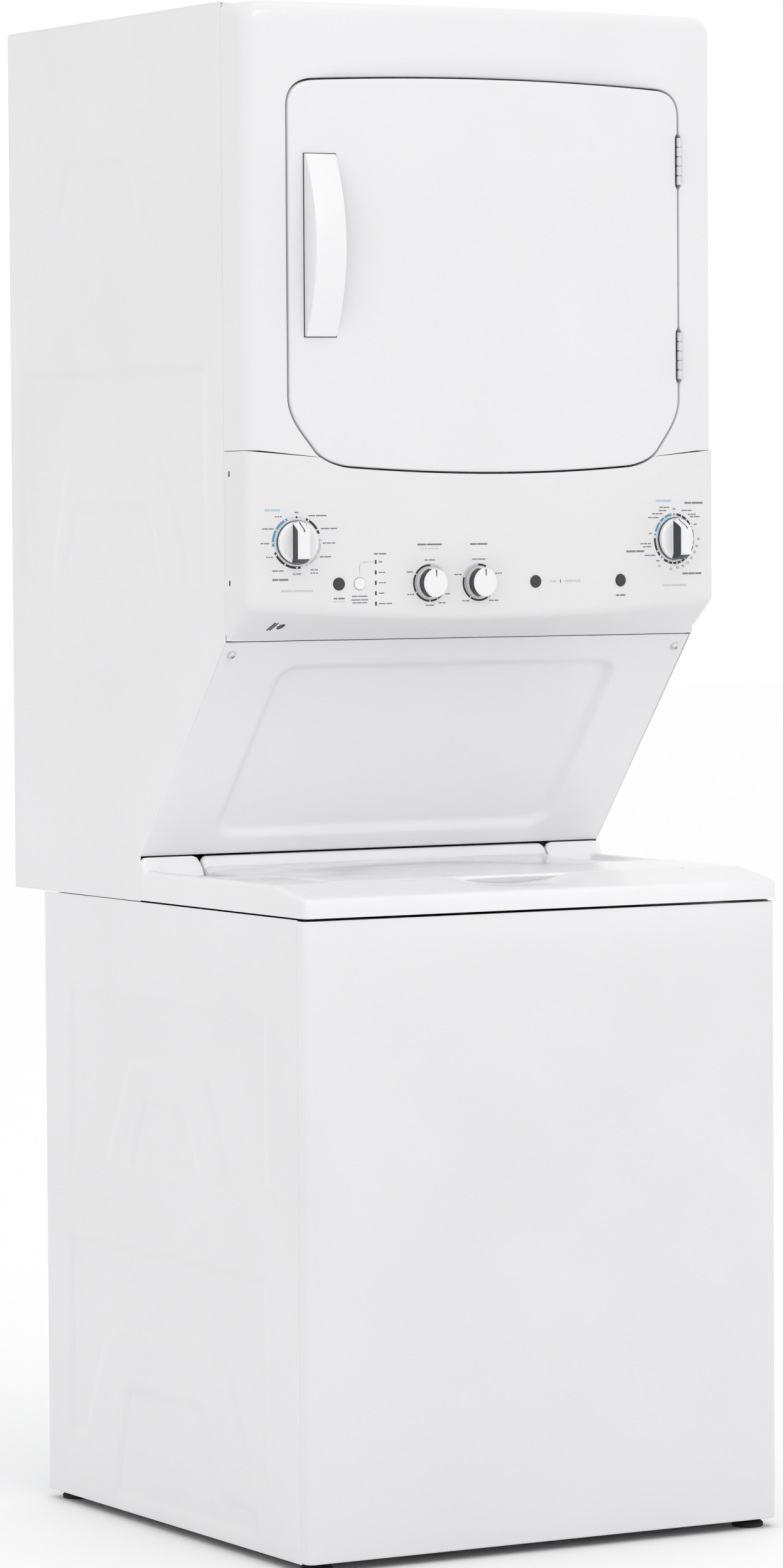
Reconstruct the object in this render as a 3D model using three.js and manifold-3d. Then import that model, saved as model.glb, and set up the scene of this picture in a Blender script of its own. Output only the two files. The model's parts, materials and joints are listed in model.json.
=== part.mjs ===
// Stacked laundry centre: a top-loading washer below, a tumble dryer above, and one control
// console between them. Millimetres, +Z up, the front faces -Y, and the origin is the centre
// of the footprint on the floor.
import * as THREE from 'three';
import { mergeVertices } from 'three/addons/utils/BufferGeometryUtils.js';
import Module from 'manifold-3d';

const wasm = await Module();
wasm.setup();

// ---------------------------------------------------------------- driving dimensions
const HALF_WIDTH = 341.5;
const HEIGHT = 1927;
const LIP_Y = -400;
const BACK_Y = 400;
const SHEET = 1;
const GAP = 0.4;
const WELD = 1e-3;

const ROUND_BIG = 40;
const ROUND_MID = 20;
const ROUND_SMALL = 10;

// washer cabinet
const WASHER_FRONT_Y = -397;
const WASHER_BACK_Y = 313;
const WASHER_BOTTOM = 12;
const WASHER_TOP = 800;
const WRAP_Y = -380;
const WRAP_RADIUS = 10;
const WRAP_CLEAR = 8;
const FLANGE = 15;
const CHANNEL = { outerX: 338, frontY: -392, backY: 309, bar: 48, low: 20, high: 58, wall: 2 };
const FOOT = { x: 314, frontY: -368, backY: 285, pad: 20, neck: 14, stud: 5, top: 50 };
const INLETS = [{ x: 200, z: 730 }, { x: 244, z: 730 }];
const INLET = { radius: 12, wall: 3, tipY: 342 };
const VALVE_BODY = [180, 264, 262, 300, 700, 760];

// washer deck and lid
const DECK_LOW = 803.4;
const DECK_BACK_Y = 36.6;
const RIM_Z = 841;
const RIM_INNER_X = 326;
const DIP_Z = 834;
const LEDGE_Z = 828;
const BEND_Y = -316.5;
const LID_HALF = 256;
const LID_POCKET_HALF = 258.4;
const LID_PIVOT = { y: 30, z: 838 };
const DECK_SKIN = 1.2;
const LOAD_RADIUS = 240;
const LOAD_CENTRE_Y = -45;
const LOAD_BACK_Y = -12;
const FINGER_HALF = 86;
const FINGER_FRONT_Y = -342;
const FINGER_Z = 832;
const LID_CROWN = { y: -60, z: 845 };
const PIVOT_PIN = 3;
const PIVOT_BORE = 3.5;
const PIVOT_DEPTH = 10;

// washer tub group
const TUB_Y = -42;
const TUB_RADIUS = 283;
const TUB_WALL = 4;
const TUB_LOW = 190;
const TUB_HIGH = 770;
const TUB_BOSS = { bore: 26, radius: 60, low: 140 };
const TUB_LUG = { z: 300, thick: 10, half: 22, reach: 368, bore: 8 };
const BASKET = { radius: 262, wall: 1.4, low: 215, high: 745, hub: 20, ring: 24, ringLow: 712 };
const ROD = { offset: 245, radius: 4, cup: 22, cupLow: 172, cupHigh: 180 };
const GUSSET = { leg: 236, low: 790, high: 793, clear: 0.6 };
const DRIVE = { pulley: 90, shaft: 15, low: 80, shaftTop: 300 };
const WASHER_MOTOR = { x: -150, y: 75 };

// dryer cabinet
const SEAM_Y = -200;
const SLOPE_LOW = { y: 37, z: 859 };
const SLOPE_HIGH = { y: -198, z: 1136 };
const CORNER_Y = -256;
const BULGE = 25;
const CONSOLE_LOW_MID = 1163;
const CONSOLE_LOW_SIDE = 1181;
const CONSOLE_BACK_LOW = 1137.4;
const CONSOLE_TOP_SIDE = 1373;
const CONSOLE_TOP_NOTCH = 1364;
const NOTCH_X = 237;
const CONSOLE_WALL = 2.5;
const EDGE_ROUND = 20;
const BETWEEN_SIDES = HALF_WIDTH - SHEET - GAP;
const CORD_HOLE = { x: -230, z: 900, radius: 16 };
const LOUVRES = { count: 6, x0: 120, x1: 280, low: 1040, pitch: 22, slot: 8 };
const SLOPE_LENGTH = Math.hypot(SLOPE_HIGH.z - SLOPE_LOW.z, SLOPE_HIGH.y - SLOPE_LOW.y);
const FIELD = { half: 252, low: 26, high: 320, depth: 6, radius: 18, wall: 1.2 };
const ACCESS_SCREW = { x: 325, s: 343, hole: 2.6, shank: 2, head: 4.6, seat: 6 };

// dryer door and opening
const DOOR_GAP = 2.4;
const DOOR_PROUD = 1;
const DOOR_BACK_Y = -246.2;
const RECESS_FLOOR_Y = -238;
const HINGE = { x: 284.2, y: -266.5, radius: 3.9, relief: 4.6 };
const HINGE_SPANS = { upper: [1711, 1771], lower: [1463.5, 1523.5] };
const HANDLE = { x0: -263, x1: -221, low: 1514, high: 1739, baseY: -268, rise: 27, end: 6 };
const CATCH = { x: -253, z: 1600 };
const DOORWAY_SIZE = { half: 222, low: 1408, high: 1788, radius: 70 };

// dryer drum and drive
const DRUM = { z: 1600, radius: 310, frontY: -186, backY: 340, lip: 298, shaft: 12 };
const MOTOR = { x: -120, z: 1040, radius: 60 };
const PULLEY_RADIUS = 13;
const EXHAUST = { x: 40, z: 930, radius: 51 };
const VANE = { angles: [90, 210, 330], height: 62, foot: 38, tip: 9, y0: -150, y1: 300 };
const BELT = { y0: 175, y1: 183, thick: 2.4, clear: 1.6 };
const BULKHEAD = { y: 352, thick: 1.2, low: 1270, intake: 22, intakeRing: 150 };
const BLOWER = { radius: 88, wall: 1.5, y0: 58, y1: 128, eye: 45 };
const LINT = { half: 122, frontY: -218, backY: -210, low: 1204, high: 1416 };

// controls: centre on the console face and radius
const CONTROLS = {
  washer_cycle_knob: { x: -275, z: 1260, radius: 27, kind: 'dial' },
  dryer_cycle_knob: { x: 275, z: 1260, radius: 27, kind: 'dial' },
  temperature_knob: { x: -94, z: 1208, radius: 20.5, kind: 'small' },
  load_size_knob: { x: -24, z: 1208, radius: 20.5, kind: 'small' },
  washer_start_button: { x: -219, z: 1208, radius: 7.75, kind: 'button', colour: 'dark' },
  deep_rinse_button: { x: -191, z: 1208, radius: 7.75, kind: 'button', colour: 'white' },
  dryer_start_button: { x: 189, z: 1208, radius: 7.75, kind: 'button', colour: 'dark' },
};

// ---------------------------------------------------------------- materials
function paint(color, roughness, metalness = 0) {
  return () => new THREE.MeshStandardMaterial({ color, roughness, metalness });
}
const enamel = paint(0xf1f1f2, 0.28);
const whitePlastic = paint(0xf4f4f4, 0.35);
const darkPlastic = paint(0x2b2d30, 0.4);
const zincSteel = paint(0xb8bcc0, 0.4, 0.9);
const brightSteel = paint(0xc9ccd0, 0.25, 1);
const greyPlastic = paint(0xc4c6c8, 0.5);
const blackRubber = paint(0x1c1c1e, 0.85);
const motorIron = paint(0x55585c, 0.6, 0.5);

// ---------------------------------------------------------------- solids
function weld(geometry) {
  const bare = new THREE.BufferGeometry();
  bare.setAttribute('position', geometry.getAttribute('position'));
  bare.setIndex(geometry.index);
  const merged = mergeVertices(bare, WELD);
  const corners = merged.index.array;
  const kept = [];
  for (let i = 0; i < corners.length; i += 3) {
    const [a, b, c] = [corners[i], corners[i + 1], corners[i + 2]];
    if (a !== b && b !== c && c !== a) kept.push(a, b, c);
  }
  return { positions: new Float32Array(merged.getAttribute('position').array), kept };
}

function signedVolume(positions, kept) {
  const corner = (i) => new THREE.Vector3().fromArray(positions, 3 * kept[i]);
  let volume = 0;
  for (let i = 0; i < kept.length; i += 3) {
    volume += corner(i).dot(corner(i + 1).cross(corner(i + 2))) / 6;
  }
  return volume;
}

function solidFrom(geometry) {
  const { positions, kept } = weld(geometry);
  if (signedVolume(positions, kept) < 0) kept.reverse();
  return new wasm.Manifold(new wasm.Mesh({
    numProp: 3,
    vertProperties: positions,
    triVerts: new Uint32Array(kept),
  }));
}

function geometryFrom(solid) {
  const mesh = solid.getMesh();
  const geometry = new THREE.BufferGeometry();
  geometry.setAttribute('position', new THREE.BufferAttribute(mesh.vertProperties, 3));
  geometry.setIndex(new THREE.BufferAttribute(mesh.triVerts, 1));
  return geometry;
}

function joined(solids) {
  return solids.reduce((all, solid) => all.add(solid));
}

function cut(body, ...tools) {
  return tools.reduce((left, tool) => left.subtract(tool), body);
}

function box(x0, x1, y0, y1, z0, z1) {
  const geometry = new THREE.BoxGeometry(x1 - x0, y1 - y0, z1 - z0);
  geometry.translate((x0 + x1) / 2, (y0 + y1) / 2, (z0 + z1) / 2);
  return solidFrom(geometry);
}

function extruded(points, depth) {
  const shape = new THREE.Shape(points.map(([u, v]) => new THREE.Vector2(u, v)));
  return new THREE.ExtrudeGeometry(shape, { depth, bevelEnabled: false });
}

// outline in (x, y), raised along Z
function prismZ(points, z0, z1) {
  return solidFrom(extruded(points, z1 - z0).translate(0, 0, z0));
}

// outline in (x, z), deep along Y
function prismY(points, y0, y1) {
  return solidFrom(extruded(points, y1 - y0).rotateX(Math.PI / 2).translate(0, y1, 0));
}

// outline in (y, z), wide along X
function prismX(points, x0, x1) {
  const turn = new THREE.Matrix4().makeBasis(
    new THREE.Vector3(0, 1, 0),
    new THREE.Vector3(0, 0, 1),
    new THREE.Vector3(1, 0, 0),
  );
  return solidFrom(extruded(points, x1 - x0).applyMatrix4(turn).translate(x0, 0, 0));
}

function revolved(profile, segments) {
  const closed = [...profile, profile[0]].map(([r, h]) => new THREE.Vector2(r, h));
  return new THREE.LatheGeometry(closed, segments);
}

// profile of [radius, height] pairs about a vertical axis
function turnedZ(profile, x, y, segments) {
  return solidFrom(revolved(profile, segments).rotateX(Math.PI / 2).translate(x, y, 0));
}

// profile of [radius, y] pairs about an axis along Y
function turnedY(profile, x, z, segments) {
  return solidFrom(revolved(profile, segments).translate(x, 0, z));
}

function rod(radius, low, high) {
  return [[0, low], [radius, low], [radius, high], [0, high]];
}

function tube(inner, outer, low, high) {
  return [[inner, low], [outer, low], [outer, high], [inner, high]];
}

function arc(cx, cy, radius, from, to, steps) {
  return Array.from({ length: steps + 1 }, (_, i) => {
    const angle = THREE.MathUtils.degToRad(from + ((to - from) * i) / steps);
    return [cx + radius * Math.cos(angle), cy + radius * Math.sin(angle)];
  });
}

function curve(start, control, end, steps) {
  const path = new THREE.QuadraticBezierCurve(
    new THREE.Vector2(...start),
    new THREE.Vector2(...control),
    new THREE.Vector2(...end),
  );
  return path.getPoints(steps).map((p) => [p.x, p.y]);
}

function mirrored(points) {
  return points.map(([x, other]) => [-x, other]).reverse();
}

// moves every edge of a convex outline outwards by the distance, or inwards if it is negative
function offset(points, distance) {
  const outline = new THREE.Shape(points.map(([u, v]) => new THREE.Vector2(u, v)));
  const side = THREE.ShapeUtils.isClockWise(outline.getPoints()) ? -1 : 1;
  return points.map((here, i) => {
    const before = points.at(i - 1);
    const after = points[(i + 1) % points.length];
    const inward = unit(before, here);
    const outward = unit(here, after);
    const normals = [[inward[1], -inward[0]], [outward[1], -outward[0]]];
    const sum = [normals[0][0] + normals[1][0], normals[0][1] + normals[1][1]];
    const scale = (2 * distance * side) / (sum[0] ** 2 + sum[1] ** 2);
    return [here[0] + sum[0] * scale, here[1] + sum[1] * scale];
  });
}

function unit(a, b) {
  const length = Math.hypot(b[0] - a[0], b[1] - a[1]);
  return [(b[0] - a[0]) / length, (b[1] - a[1]) / length];
}

// skins a run of convex sections, each a list of [y, z] corners, placed at rising x
function loft(stations, section) {
  const rings = stations.map((x) => section(x).map(([y, z]) => [x, y, z]));
  const count = rings[0].length;
  const index = [];
  for (let s = 0; s + 1 < rings.length; s += 1) {
    for (let i = 0; i < count; i += 1) {
      const [a, b] = [s * count + i, s * count + ((i + 1) % count)];
      index.push(a, b, a + count, b, b + count, a + count);
    }
  }
  const last = (rings.length - 1) * count;
  for (let i = 1; i + 1 < count; i += 1) {
    index.push(0, i + 1, i, last, last + i, last + i + 1);
  }
  const geometry = new THREE.BufferGeometry();
  geometry.setAttribute('position', new THREE.Float32BufferAttribute(rings.flat(2), 3));
  geometry.setIndex(index);
  return solidFrom(geometry);
}

// ---------------------------------------------------------------- the assembly
const laundryCentre = new THREE.Group();

function add(name, solid, material, parent = laundryCentre) {
  const mesh = new THREE.Mesh(geometryFrom(solid), material());
  mesh.name = name;
  parent.add(mesh);
  return mesh;
}

function eachSide(make) {
  make('left', -1);
  make('right', 1);
}

// ---------------------------------------------------------------- washer cabinet
function wrapOutline() {
  const inner = HALF_WIDTH - SHEET;
  const centreX = HALF_WIDTH - WRAP_RADIUS;
  const centreY = WASHER_FRONT_Y + WRAP_RADIUS;
  const outside = [
    [-HALF_WIDTH, WRAP_Y],
    ...arc(-centreX, centreY, WRAP_RADIUS, 180, 270, 4),
    ...arc(centreX, centreY, WRAP_RADIUS, 270, 360, 4),
    [HALF_WIDTH, WRAP_Y],
  ];
  const inside = [
    [inner, WRAP_Y],
    ...arc(centreX, centreY, WRAP_RADIUS - SHEET, 360, 270, 4),
    ...arc(-centreX, centreY, WRAP_RADIUS - SHEET, 270, 180, 4),
    [-inner, WRAP_Y],
  ];
  return [...outside, ...inside];
}

function washerSide(side) {
  const outer = HALF_WIDTH;
  const inner = HALF_WIDTH - SHEET;
  const fold = HALF_WIDTH - FLANGE;
  const section = [
    [outer, WASHER_BOTTOM],
    [fold, WASHER_BOTTOM],
    [fold, WASHER_BOTTOM + SHEET],
    [inner, WASHER_BOTTOM + SHEET],
    [inner, WASHER_TOP - SHEET],
    [fold, WASHER_TOP - SHEET],
    [fold, WASHER_TOP],
    [outer, WASHER_TOP],
  ];
  return prismY(section.map(([x, z]) => [side * x, z]), WRAP_Y + GAP, WASHER_BACK_Y);
}

function washerBack() {
  const inner = HALF_WIDTH - SHEET - GAP;
  const low = WASHER_BOTTOM + SHEET + GAP;
  const high = WASHER_TOP - SHEET - GAP;
  const sheet = box(-inner, inner, WASHER_BACK_Y - SHEET, WASHER_BACK_Y, low, high);
  const holes = INLETS.map(({ x, z }) => (
    turnedY(rod(INLET.radius + 2, WASHER_BACK_Y - 10, WASHER_BACK_Y + 10), x, z, ROUND_SMALL)
  ));
  return cut(sheet, ...holes);
}

function inletValve() {
  const { radius, wall, tipY } = INLET;
  const stubs = INLETS.map(({ x, z }) => (
    turnedY(tube(radius - wall, radius, VALVE_BODY[3] - 2, tipY), x, z, ROUND_SMALL)
  ));
  return joined([box(...VALVE_BODY), ...stubs]);
}

function baseFrame() {
  const { outerX, frontY, backY, bar, low, high, wall } = CHANNEL;
  const outer = box(-outerX, outerX, frontY, backY, low, high);
  const openX = outerX - bar;
  const opening = box(-openX, openX, frontY + bar, backY - bar, low - 10, high + 10);
  const hollow = box(
    wall - outerX, outerX - wall, frontY + wall, backY - wall, low - 10, high - wall,
  );
  const core = box(
    -openX - wall, openX + wall, frontY + bar - wall, backY - bar + wall, low - 20, high,
  );
  return cut(outer, opening, cut(hollow, core));
}

function levellingFoot(x, y) {
  const { pad, neck, stud, top } = FOOT;
  return turnedZ([
    [0, 0], [pad, 0], [pad, 5], [neck, 8], [stud, 8], [stud, top], [0, top],
  ], x, y, ROUND_SMALL);
}

function suspensionRod(sideX, sideY) {
  const { radius, cup, cupLow, cupHigh } = ROD;
  const { leg, low, high, clear } = GUSSET;
  const x = sideX * ROD.offset;
  const y = TUB_Y + sideY * ROD.offset;
  const frontCorner = WASHER_FRONT_Y + SHEET + WRAP_CLEAR;
  const cornerX = sideX * (HALF_WIDTH - SHEET - clear);
  const cornerY = sideY < 0 ? frontCorner : WASHER_BACK_Y - SHEET - clear;
  const gusset = prismZ([
    [cornerX, cornerY],
    [cornerX - sideX * leg, cornerY],
    [cornerX, cornerY - sideY * leg],
  ], low, high);
  const shank = turnedZ([
    [0, cupLow], [cup, cupLow], [cup, cupHigh], [radius, cupHigh], [radius, low + 1], [0, low + 1],
  ], x, y, ROUND_SMALL + 2);
  return joined([gusset, shank]);
}

add('washer_front_panel', prismZ(wrapOutline(), WASHER_BOTTOM, WASHER_TOP), enamel);
eachSide((name, side) => add(`washer_${name}_side`, washerSide(side), enamel));
add('washer_back_panel', washerBack(), zincSteel);
add('water_inlet_valve', inletValve(), whitePlastic);
add('washer_base_frame', baseFrame(), zincSteel);
eachSide((name, side) => {
  add(`levelling_foot_front_${name}`, levellingFoot(side * FOOT.x, FOOT.frontY), blackRubber);
  add(`levelling_foot_rear_${name}`, levellingFoot(side * FOOT.x, FOOT.backY), blackRubber);
  add(`suspension_rod_front_${name}`, suspensionRod(side, -1), zincSteel);
  add(`suspension_rod_rear_${name}`, suspensionRod(side, 1), zincSteel);
});

// ---------------------------------------------------------------- washer deck and lid
function loadOpening(low, high) {
  const rise = LOAD_BACK_Y - LOAD_CENTRE_Y;
  const lean = THREE.MathUtils.radToDeg(Math.asin(rise / LOAD_RADIUS));
  return prismZ(arc(0, LOAD_CENTRE_Y, LOAD_RADIUS, 180 - lean, 360 + lean, 26), low, high);
}

function deckHollow() {
  const sideX = HALF_WIDTH - DECK_SKIN;
  const bendBack = BEND_Y - DECK_SKIN;
  const backY = DECK_BACK_Y - DECK_SKIN;
  const low = DECK_LOW - 5;
  const lip = prismX([
    [LIP_Y + DECK_SKIN, low],
    [LIP_Y + DECK_SKIN, 824.5],
    [-396.5, 826.9],
    [bendBack, RIM_Z - 1.4],
    [bendBack, low],
  ], -sideX, sideX);
  const fingerFloor = box(
    -FINGER_HALF - DECK_SKIN, FINGER_HALF + DECK_SKIN,
    FINGER_FRONT_Y - DECK_SKIN, bendBack + 1, FINGER_Z - DECK_SKIN, RIM_Z,
  );
  const start = bendBack - 0.5;
  const rims = [-1, 1].map((side) => box(
    Math.min(side * sideX, side * (RIM_INNER_X + DECK_SKIN)),
    Math.max(side * sideX, side * (RIM_INNER_X + DECK_SKIN)),
    start, backY, low, RIM_Z - DECK_SKIN,
  ));
  const underDip = [-1, 1].map((side) => box(
    Math.min(side * (RIM_INNER_X + 2), side * (LID_POCKET_HALF + DECK_SKIN)),
    Math.max(side * (RIM_INNER_X + 2), side * (LID_POCKET_HALF + DECK_SKIN)),
    start, backY, low, DIP_Z - DECK_SKIN,
  ));
  const pocketX = LID_POCKET_HALF + 2;
  const underPocket = box(-pocketX, pocketX, start, backY, low, LEDGE_Z - DECK_SKIN);
  return cut(joined([lip, ...rims, ...underDip, underPocket]), fingerFloor);
}

function topCover() {
  const outside = prismX([
    [LIP_Y, DECK_LOW],
    [LIP_Y, 825],
    [WASHER_FRONT_Y, LEDGE_Z],
    [BEND_Y, RIM_Z],
    [DECK_BACK_Y, RIM_Z],
    [DECK_BACK_Y, DECK_LOW],
  ], -HALF_WIDTH, HALF_WIDTH);
  const pocketX = LID_POCKET_HALF;
  const shell = cut(
    outside,
    box(-RIM_INNER_X, RIM_INNER_X, BEND_Y, DECK_BACK_Y + 1, DIP_Z, RIM_Z + 1),
    box(-pocketX, pocketX, BEND_Y, DECK_BACK_Y + 1, LEDGE_Z, RIM_Z + 1),
    box(-FINGER_HALF, FINGER_HALF, FINGER_FRONT_Y, BEND_Y + 1, FINGER_Z, RIM_Z + 1),
    deckHollow(),
    loadOpening(LEDGE_Z - 10, LEDGE_Z + 1),
  );
  const bossProfile = [[DECK_BACK_Y, 829], [31, 832], [22, RIM_Z], [DECK_BACK_Y, 855]];
  const bosses = [-1, 1].map((side) => prismX(
    bossProfile,
    Math.min(side * pocketX, side * HALF_WIDTH),
    Math.max(side * pocketX, side * HALF_WIDTH),
  ));
  return cut(joined([shell, ...bosses]), pivotPins(PIVOT_BORE, pocketX - 2, pocketX + PIVOT_DEPTH));
}

function pivotPins(radius, inner, outer) {
  const bar = (x0, x1) => solidFrom(
    revolved(rod(radius, x0, x1), ROUND_SMALL)
      .rotateZ(-Math.PI / 2)
      .translate(0, LID_PIVOT.y, LID_PIVOT.z),
  );
  return joined([bar(-outer, -inner), bar(inner, outer)]);
}

function washerLid() {
  const front = BEND_Y + 1;
  const ridgeBack = DECK_BACK_Y - GAP;
  const bottom = LEDGE_Z + 1.3;
  const shell = joined([
    prismX([
      [front, bottom],
      [front, 839.5],
      [front + 4, 842],
      [LID_CROWN.y, LID_CROWN.z],
      [24, 844],
      [24, 832],
      [14, bottom],
    ], -LID_HALF, LID_HALF),
    prismX([[14, 832], [22, RIM_Z], [ridgeBack, 854.5], [ridgeBack, 832]], -LID_HALF, LID_HALF),
  ]);
  const innerX = LID_HALF - DECK_SKIN;
  const hollow = joined([
    prismX([
      [front + DECK_SKIN, bottom - 1],
      [front + DECK_SKIN, 838.6],
      [front + 4.4, 840.8],
      [LID_CROWN.y, LID_CROWN.z - DECK_SKIN],
      [23, 842.8],
      [23, 831],
      [13, bottom - 1],
    ], -innerX, innerX),
    prismX([
      [13, 831],
      [23, 840.4],
      [ridgeBack - DECK_SKIN, 852.4],
      [ridgeBack - DECK_SKIN, 831],
    ], -innerX, innerX),
  ]);
  return joined([cut(shell, hollow), pivotPins(PIVOT_PIN, innerX, LID_POCKET_HALF + PIVOT_DEPTH - 2)]);
}

add('washer_top_cover', topCover(), enamel);
add('washer_lid', washerLid(), enamel);

// ---------------------------------------------------------------- washer tub group
function outerTub() {
  const { bore, radius, low } = TUB_BOSS;
  const { z, thick, half, reach } = TUB_LUG;
  const shell = turnedZ([
    [bore, low], [radius, low], [radius, TUB_LOW],
    [TUB_RADIUS, TUB_LOW], [TUB_RADIUS, TUB_HIGH],
    [TUB_RADIUS - TUB_WALL, TUB_HIGH], [TUB_RADIUS - TUB_WALL, TUB_LOW + 5],
    [bore, TUB_LOW + 5],
  ], 0, TUB_Y, ROUND_BIG);
  const lugs = [45, 135, 225, 315].map((angle) => {
    const lug = cut(
      box(TUB_RADIUS - TUB_WALL, reach, -half, half, z, z + thick),
      turnedZ(rod(TUB_LUG.bore, z - 5, z + 20), ROD.offset * Math.SQRT2, 0, ROUND_SMALL),
    );
    const placed = geometryFrom(lug).rotateZ(THREE.MathUtils.degToRad(angle));
    return solidFrom(placed.translate(0, TUB_Y, 0));
  });
  const inside = turnedZ(rod(TUB_RADIUS - TUB_WALL, z - 10, z + 20), 0, TUB_Y, ROUND_BIG);
  return joined([shell, ...lugs.map((lug) => cut(lug, inside))]);
}

function washBasket() {
  const { radius, wall, low, high, hub, ring, ringLow } = BASKET;
  const rim = radius - ring;
  return turnedZ([
    [hub, low], [radius, low], [radius, high], [rim, high], [rim, ringLow],
    [rim + wall, ringLow], [rim + wall, high - wall], [radius - wall, high - wall],
    [radius - wall, low + 2], [hub, low + 2],
  ], 0, TUB_Y, ROUND_BIG);
}

function agitator() {
  const post = turnedZ([
    [150, 221], [150, 226], [90, 250], [52, 330], [44, 640], [30, 668], [0, 672],
    [0, 668], [26, 664], [40, 636], [48, 330], [86, 248], [146, 223],
  ], 0, TUB_Y, ROUND_MID);
  const fin = [[48, 470], [70, 440], [92, 330], [142, 228], [86, 250], [50, 332]];
  const fins = [0, 90, 180, 270].map((angle) => {
    const blade = geometryFrom(prismY(fin, -3, 3));
    const turned = blade.rotateZ(THREE.MathUtils.degToRad(angle + 45));
    return solidFrom(turned.translate(0, TUB_Y, 0));
  });
  return joined([post, ...fins]);
}

function drivePulley() {
  const { pulley, shaft, low, shaftTop } = DRIVE;
  return turnedZ([
    [0, low], [pulley, low], [pulley, low + 4], [pulley - 6, low + 8], [pulley, low + 12],
    [pulley, low + 16], [shaft, low + 16], [shaft, shaftTop], [0, shaftTop],
  ], 0, TUB_Y, ROUND_MID);
}

function washerMotor() {
  return turnedZ([
    [0, 80], [22, 80], [22, 96], [8, 96], [8, 100], [58, 100], [62, 104], [62, 180],
    [50, 187], [0, 187],
  ], WASHER_MOTOR.x, WASHER_MOTOR.y, ROUND_MID);
}

add('outer_tub', outerTub(), greyPlastic);
add('wash_basket', washBasket(), brightSteel);
add('agitator', agitator(), whitePlastic);
add('drive_pulley', drivePulley(), motorIron);
add('washer_motor', washerMotor(), motorIron);

// ---------------------------------------------------------------- dryer cabinet
function dryerSide(side) {
  const outline = [
    [SEAM_Y + GAP, HEIGHT],
    [SEAM_Y + GAP, SLOPE_HIGH.z + 1],
    [SLOPE_LOW.y, SLOPE_LOW.z],
    [SLOPE_LOW.y, DECK_LOW],
    [BACK_Y, DECK_LOW],
    [BACK_Y, HEIGHT],
  ];
  const faces = [side * HALF_WIDTH, side * (HALF_WIDTH - SHEET)];
  return prismX(outline, Math.min(...faces), Math.max(...faces));
}

function dryerBack() {
  const sheet = box(
    -BETWEEN_SIDES, BETWEEN_SIDES, BACK_Y - SHEET, BACK_Y, DECK_LOW, HEIGHT - SHEET - GAP,
  );
  const through = (radius, x, z) => (
    turnedY(rod(radius, BACK_Y - 10, BACK_Y + 10), x, z, ROUND_MID)
  );
  const { x0, x1, low, pitch, slot } = LOUVRES;
  const louvres = Array.from({ length: LOUVRES.count }, (_, i) => (
    box(x0, x1, BACK_Y - 10, BACK_Y + 10, low + pitch * i, low + pitch * i + slot)
  ));
  return cut(
    sheet,
    through(EXHAUST.radius + 1.2, EXHAUST.x, EXHAUST.z),
    through(CORD_HOLE.radius, CORD_HOLE.x, CORD_HOLE.z),
    ...louvres,
  );
}

function dryerFloor() {
  const frontY = SLOPE_LOW.y + 1;
  return prismX([
    [frontY, DECK_LOW],
    [BACK_Y - SHEET - GAP, DECK_LOW],
    [BACK_Y - SHEET - GAP, DECK_LOW + SHEET],
    [frontY + SHEET, DECK_LOW + SHEET],
    [frontY + SHEET, 820],
    [frontY, 820],
  ], -BETWEEN_SIDES, BETWEEN_SIDES);
}

eachSide((name, side) => add(`dryer_${name}_side`, dryerSide(side), enamel));
add('dryer_top_panel', box(
  -BETWEEN_SIDES, BETWEEN_SIDES, SEAM_Y + GAP * 2, BACK_Y - SHEET - GAP, HEIGHT - SHEET, HEIGHT,
), enamel);
add('dryer_back_panel', dryerBack(), zincSteel);
add('dryer_floor', dryerFloor(), zincSteel);

// The sloping access panel lies in its own frame: x across, y up the slope, z outwards.
const slope = new THREE.Group();
slope.position.set(0, SLOPE_LOW.y, SLOPE_LOW.z);
slope.rotation.x = Math.atan2(SLOPE_HIGH.z - SLOPE_LOW.z, SLOPE_HIGH.y - SLOPE_LOW.y);
laundryCentre.add(slope);

function roundedRectangle(half, low, high, radius, steps) {
  return [
    ...arc(half - radius, low + radius, radius, 270, 360, steps),
    ...arc(half - radius, high - radius, radius, 0, 90, steps),
    ...arc(-half + radius, high - radius, radius, 90, 180, steps),
    ...arc(-half + radius, low + radius, radius, 180, 270, steps),
  ];
}

function accessPanel() {
  const { half, low, high, depth, radius, wall } = FIELD;
  const field = roundedRectangle(half, low, high, radius, 3);
  const sheet = box(-BETWEEN_SIDES, BETWEEN_SIDES, 0, SLOPE_LENGTH, -wall, 0);
  const pan = prismZ(offset(field, wall), -depth - wall, 0);
  const screws = [-1, 1].map((side) => (
    turnedZ(rod(ACCESS_SCREW.hole, -10, 10), side * ACCESS_SCREW.x, ACCESS_SCREW.s, ROUND_SMALL)
  ));
  return cut(joined([sheet, pan]), prismZ(field, -depth, 5), ...screws);
}

function accessScrew(side) {
  const { shank, head, seat } = ACCESS_SCREW;
  const x = side * ACCESS_SCREW.x;
  const screw = turnedZ([
    [0, -12], [shank, -12], [shank, GAP], [seat, GAP], [seat, 1.2], [head, 1.6],
    [head - 0.2, 4], [0, 4],
  ], x, ACCESS_SCREW.s, ROUND_SMALL);
  const cross = [[1.2, 4.2], [4.2, 1.2]].map(([w, h]) => (
    box(x - w / 2, x + w / 2, ACCESS_SCREW.s - h / 2, ACCESS_SCREW.s + h / 2, 2.6, 5)
  ));
  return cut(screw, ...cross);
}

add('access_panel', accessPanel(), enamel, slope);
eachSide((name, side) => add(`access_screw_${name}`, accessScrew(side), zincSteel, slope));

// ---------------------------------------------------------------- dryer front and console
function frontY(x) {
  return CORNER_Y - BULGE * (1 - (x / HALF_WIDTH) ** 2);
}

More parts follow.
